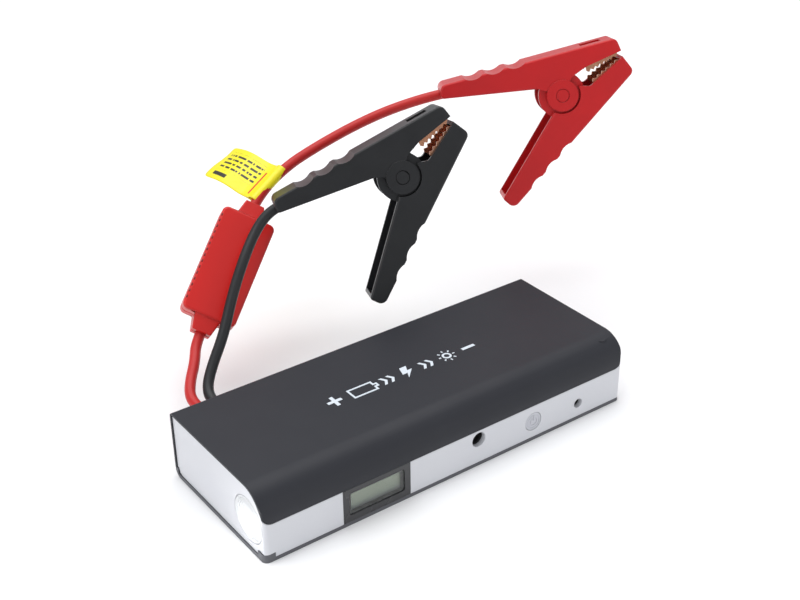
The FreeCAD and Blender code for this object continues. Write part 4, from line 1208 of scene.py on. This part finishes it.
@dataclass(frozen=True)
class Clamp:
    """One battery clamp: two moulded arms, toothed copper jaws, a pin and a torsion spring."""

    pole: Pole
    pivot: Point
    turn_deg: float
    lean_deg: float
    roll_deg: float
    finish: Finish
    spread_deg: float = 17.5
    wire_mm: float = 1.0
    coil_radius_mm: float = 3.75
    coil_half_mm: float = 3.7
    turns: float = 6.5
    leg_side_mm: float = 3.3
    leg_start_mm: Corner = (-2.0, 3.4)
    leg_end_mm: Corner = (-24.0, -5.2)
    upper_spine_mm: float = 18.0
    lower_spine_mm: float = 17.0
    steps_per_turn: int = 26
    shear_half_mm: float = 2.7

    @property
    def handle(self) -> Body:
        """The body of the arm that swings."""
        return Body.RED_HANDLE if self.pole is Pole.RED else Body.BLACK_HANDLE

    def place(self) -> Matrix:
        """The clamp's own place: origin on the pivot, X along the jaws, Y along the pin."""
        turn = Matrix.Rotation(math.radians(self.turn_deg), 4, "Z")
        lean = Matrix.Rotation(math.radians(-self.lean_deg), 4, "X")
        roll = Matrix.Rotation(math.radians(-self.roll_deg), 4, "Y")
        return Matrix.Translation(Vector(self.pivot) * MM) @ turn @ lean @ roll

    def arm_turn(self, upper: bool) -> Matrix:
        """Turn of an arm's own frame into the clamp's."""
        if upper:
            return Matrix.Rotation(math.radians(self.spread_deg), 4, "Y")
        swing = Matrix.Rotation(math.radians(-self.spread_deg), 4, "Y")
        return swing @ Matrix.Rotation(math.pi, 4, "X")

    def add_leg(self, bm: Form, upper: bool, spine_mm: float) -> None:
        """Adds one straight leg of the spring, from the coil to under the handle's spine.

        Args:
            bm: The spring so far, in the clamp's own frame.
            upper: Whether the leg lies under the upper arm.
            spine_mm: Height of the arm's spine.
        """
        along, height = self.leg_start_mm
        start = self.arm_turn(upper) @ Vector((along, -self.leg_side_mm, height))
        along, below = self.leg_end_mm
        end = self.arm_turn(upper) @ Vector((along, -self.leg_side_mm, spine_mm + below))
        reach = (end - start) * MM
        radius = self.wire_mm / 2 * MM
        bmesh.ops.create_cone(
            bm, cap_ends=True, segments=14, radius1=radius, radius2=radius, depth=reach.length,
            matrix=facing((start + end) / 2, reach),
        )

    def spring(self) -> Piece:
        """The torsion spring: a wound coil round the pin with two legs, built as one fixed piece on no body.
        """
        bm = bmesh.new()
        made = bmesh.ops.create_circle(bm, cap_ends=False, segments=12, radius=self.wire_mm / 2 * MM)["verts"]
        bmesh.ops.translate(bm, verts=made, vec=Vector((self.coil_radius_mm, -self.coil_half_mm, 0)) * MM)
        steps = round(self.turns * self.steps_per_turn)
        rise = Vector((0, 2 * self.coil_half_mm * MM / steps, 0))
        bmesh.ops.spin(
            bm, geom=made + list(bm.edges), cent=(0, 0, 0), axis=(0, 1, 0), dvec=rise,
            angle=math.tau * self.turns, steps=steps,
        )
        bmesh.ops.holes_fill(bm, edges=[edge for edge in bm.edges if edge.is_boundary], sides=0)
        self.add_leg(bm, True, self.upper_spine_mm)
        self.add_leg(bm, False, self.lower_spine_mm)
        bmesh.ops.recalc_face_normals(bm, faces=bm.faces)
        bmesh.ops.transform(bm, matrix=self.place(), verts=bm.verts)
        node = f"{self.pole.value}_clamp_spring"
        piece = make_piece(bm, node + "_wire", SPRING_WIRE, Body.PACK, [node])
        piece.parent = None
        del piece["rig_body"]
        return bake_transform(piece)

    def build(self) -> list[Piece]:
        """Builds the clamp and returns its pieces on the pack's side."""
        colour = self.pole.value
        upper = crisp(f"{colour}_clamp_upper_arm", self.finish)
        crisp(f"{colour}_clamp_lower_arm", self.finish, self.handle)
        jaw = crisp(f"{colour}_clamp_upper_jaw", COPPER)
        crisp(f"{colour}_clamp_lower_jaw", COPPER, self.handle)
        moulded(f"{colour}_clamp_pin", self.finish, 0.25)
        self.spring()
        return [upper, jaw]


# ---- Studio ----


@dataclass(frozen=True)
class FloorPaint(Finish):
    """Matt white sweep: even, with the faintest mottle."""

    name: str = "matt_white_sweep"
    colour: str = "#fafafa"
    shade: str = "#f7f7f7"
    mottle_mm: float = 300.0

    def dress(self, tree: Tree, surface: Node) -> None:
        """Builds an even matt white."""
        mottle = noise(tree, object_place(tree), self.mottle_mm, 2.0)
        set_inputs(tree, surface, {
            "Base Color": tinted(tree, mottle, linear(self.colour), linear(self.shade)),
            "Roughness": 0.9,
            "Specular IOR Level": 0.1,
        })


@dataclass(frozen=True)
class Studio:
    """Floor, soft lights and the camera."""

    camera_place: Point = (-0.2508, -0.3430, 0.3031)
    camera_right: Point = (0.806286, -0.591428, -0.010769)
    camera_up: Point = (0.300400, 0.393713, 0.868764)
    camera_forward: Point = (0.509571, 0.703707, -0.495110)
    lens_mm: float = 59.71
    sensor_mm: float = 36.0
    floor_m: float = 12.0
    floor_drop_m: float = 0.00005
    glow_place: Point = (-0.094, -0.026, 0.013)
    glow_watts: float = 0.004
    glow_radius_m: float = 0.004
    surround: str = "#f4f6fa"

    def camera(self) -> None:
        """Puts the camera at its place."""
        data = bpy.data.cameras.new("studio_camera")
        data.lens = self.lens_mm
        data.sensor_width = self.sensor_mm
        data.clip_start = 0.01
        turn = Matrix((self.camera_right, self.camera_up, -Vector(self.camera_forward))).transposed()
        place = Matrix.Translation(self.camera_place) @ turn.to_4x4()
        bpy.context.scene.camera = put_in("studio_camera", data, place)

    def softbox(self, name: str, place: Point, aim: Point, width: float, height: float, power: float) -> None:
        """A soft rectangular light.

        Args:
            name: Name of the light.
            place: Where it stands, in metres.
            aim: What it points at, in metres.
            width: Its width in metres.
            height: Its height in metres.
            power: Its power in watts.
        """
        data = bpy.data.lights.new(name, "AREA")
        data.shape = "RECTANGLE"
        data.size = width
        data.size_y = height
        data.energy = power
        turn = (Vector(aim) - Vector(place)).to_track_quat("-Z", "Y").to_matrix().to_4x4()
        put_in(name, data, Matrix.Translation(place) @ turn).visible_camera = False

    def torch_glow(self) -> None:
        """A small warm-white lamp in front of the torch, for the light that its lens spills."""
        data = bpy.data.lights.new("torch_glow", "POINT")
        data.energy = self.glow_watts
        data.shadow_soft_size = self.glow_radius_m
        put_in("torch_glow", data, Matrix.Translation(self.glow_place)).visible_camera = False

    def floor(self) -> None:
        """Lays the pale floor."""
        bm = bmesh.new()
        bmesh.ops.create_grid(bm, x_segments=1, y_segments=1, size=self.floor_m / 2)
        bmesh.ops.translate(bm, verts=bm.verts, vec=(0, 0, -self.floor_drop_m))
        mesh = bpy.data.meshes.new("studio_floor")
        bm.to_mesh(mesh)
        bm.free()
        mesh.materials.append(FloorPaint().material())
        put_in("studio_floor", mesh)

    def sky(self) -> None:
        """A pale surround that is dimmer near the horizon than overhead."""
        world = bpy.data.worlds.new("studio_surround")
        world.use_nodes = True
        surround = world.node_tree.nodes["Background"]
        surround.inputs["Color"].default_value = linear(self.surround)
        direction = add_node(world.node_tree, "ShaderNodeTexCoord").outputs["Generated"]
        height = axis(world.node_tree, direction, "Z")
        ceiling = add_node(
            world.node_tree, "ShaderNodeMapRange", {"interpolation_type": "SMOOTHSTEP"},
            {"Value": height, "From Min": 0.1, "From Max": 0.6, "To Min": 0.42, "To Max": 0.72},
        )
        world.node_tree.links.new(ceiling.outputs["Result"], surround.inputs["Strength"])
        bpy.context.scene.world = world
        bpy.context.scene.view_settings.view_transform = "Standard"

    def build(self) -> None:
        """Builds the whole studio."""
        self.camera()
        self.floor()
        self.sky()
        self.softbox("top_softbox", (0.1, 0.35, 1.25), (0.0, 0.02, 0.0), 1.5, 1.1, 12.0)
        self.softbox("left_softbox", (-1.0, -0.15, 0.55), (0.0, 0.0, 0.04), 0.8, 0.7, 3.0)
        self.softbox("front_fill", (0.45, -1.05, 0.28), (0.0, 0.0, 0.02), 1.0, 0.4, 1.3)
        self.torch_glow()


def main() -> None:
    """Builds the looks in order."""
    logging.basicConfig(level=logging.INFO, format="%(message)s")
    Studio().build()
    red_lower, red_upper, black = RED_LOWER.build(), RED_UPPER.build(), BLACK.build()
    for group in (PackCase(), TopMark(), Torch(), Display(), Controls(), Inside(), JumpPlug()):
        group.build()
    halves = InlineBox().build()
    FlagLabel().build()
    red = Clamp(Pole.RED, (130.7, 62.3, 92.3), -33.0, 13.5, 31.0, RED_NYLON).build()
    dark = Clamp(Pole.BLACK, (43.2, 62.4, 77.0), -26.0, 17.0, 42.3, BLACK_NYLON).build()


if __name__ == "__main__":
    main()
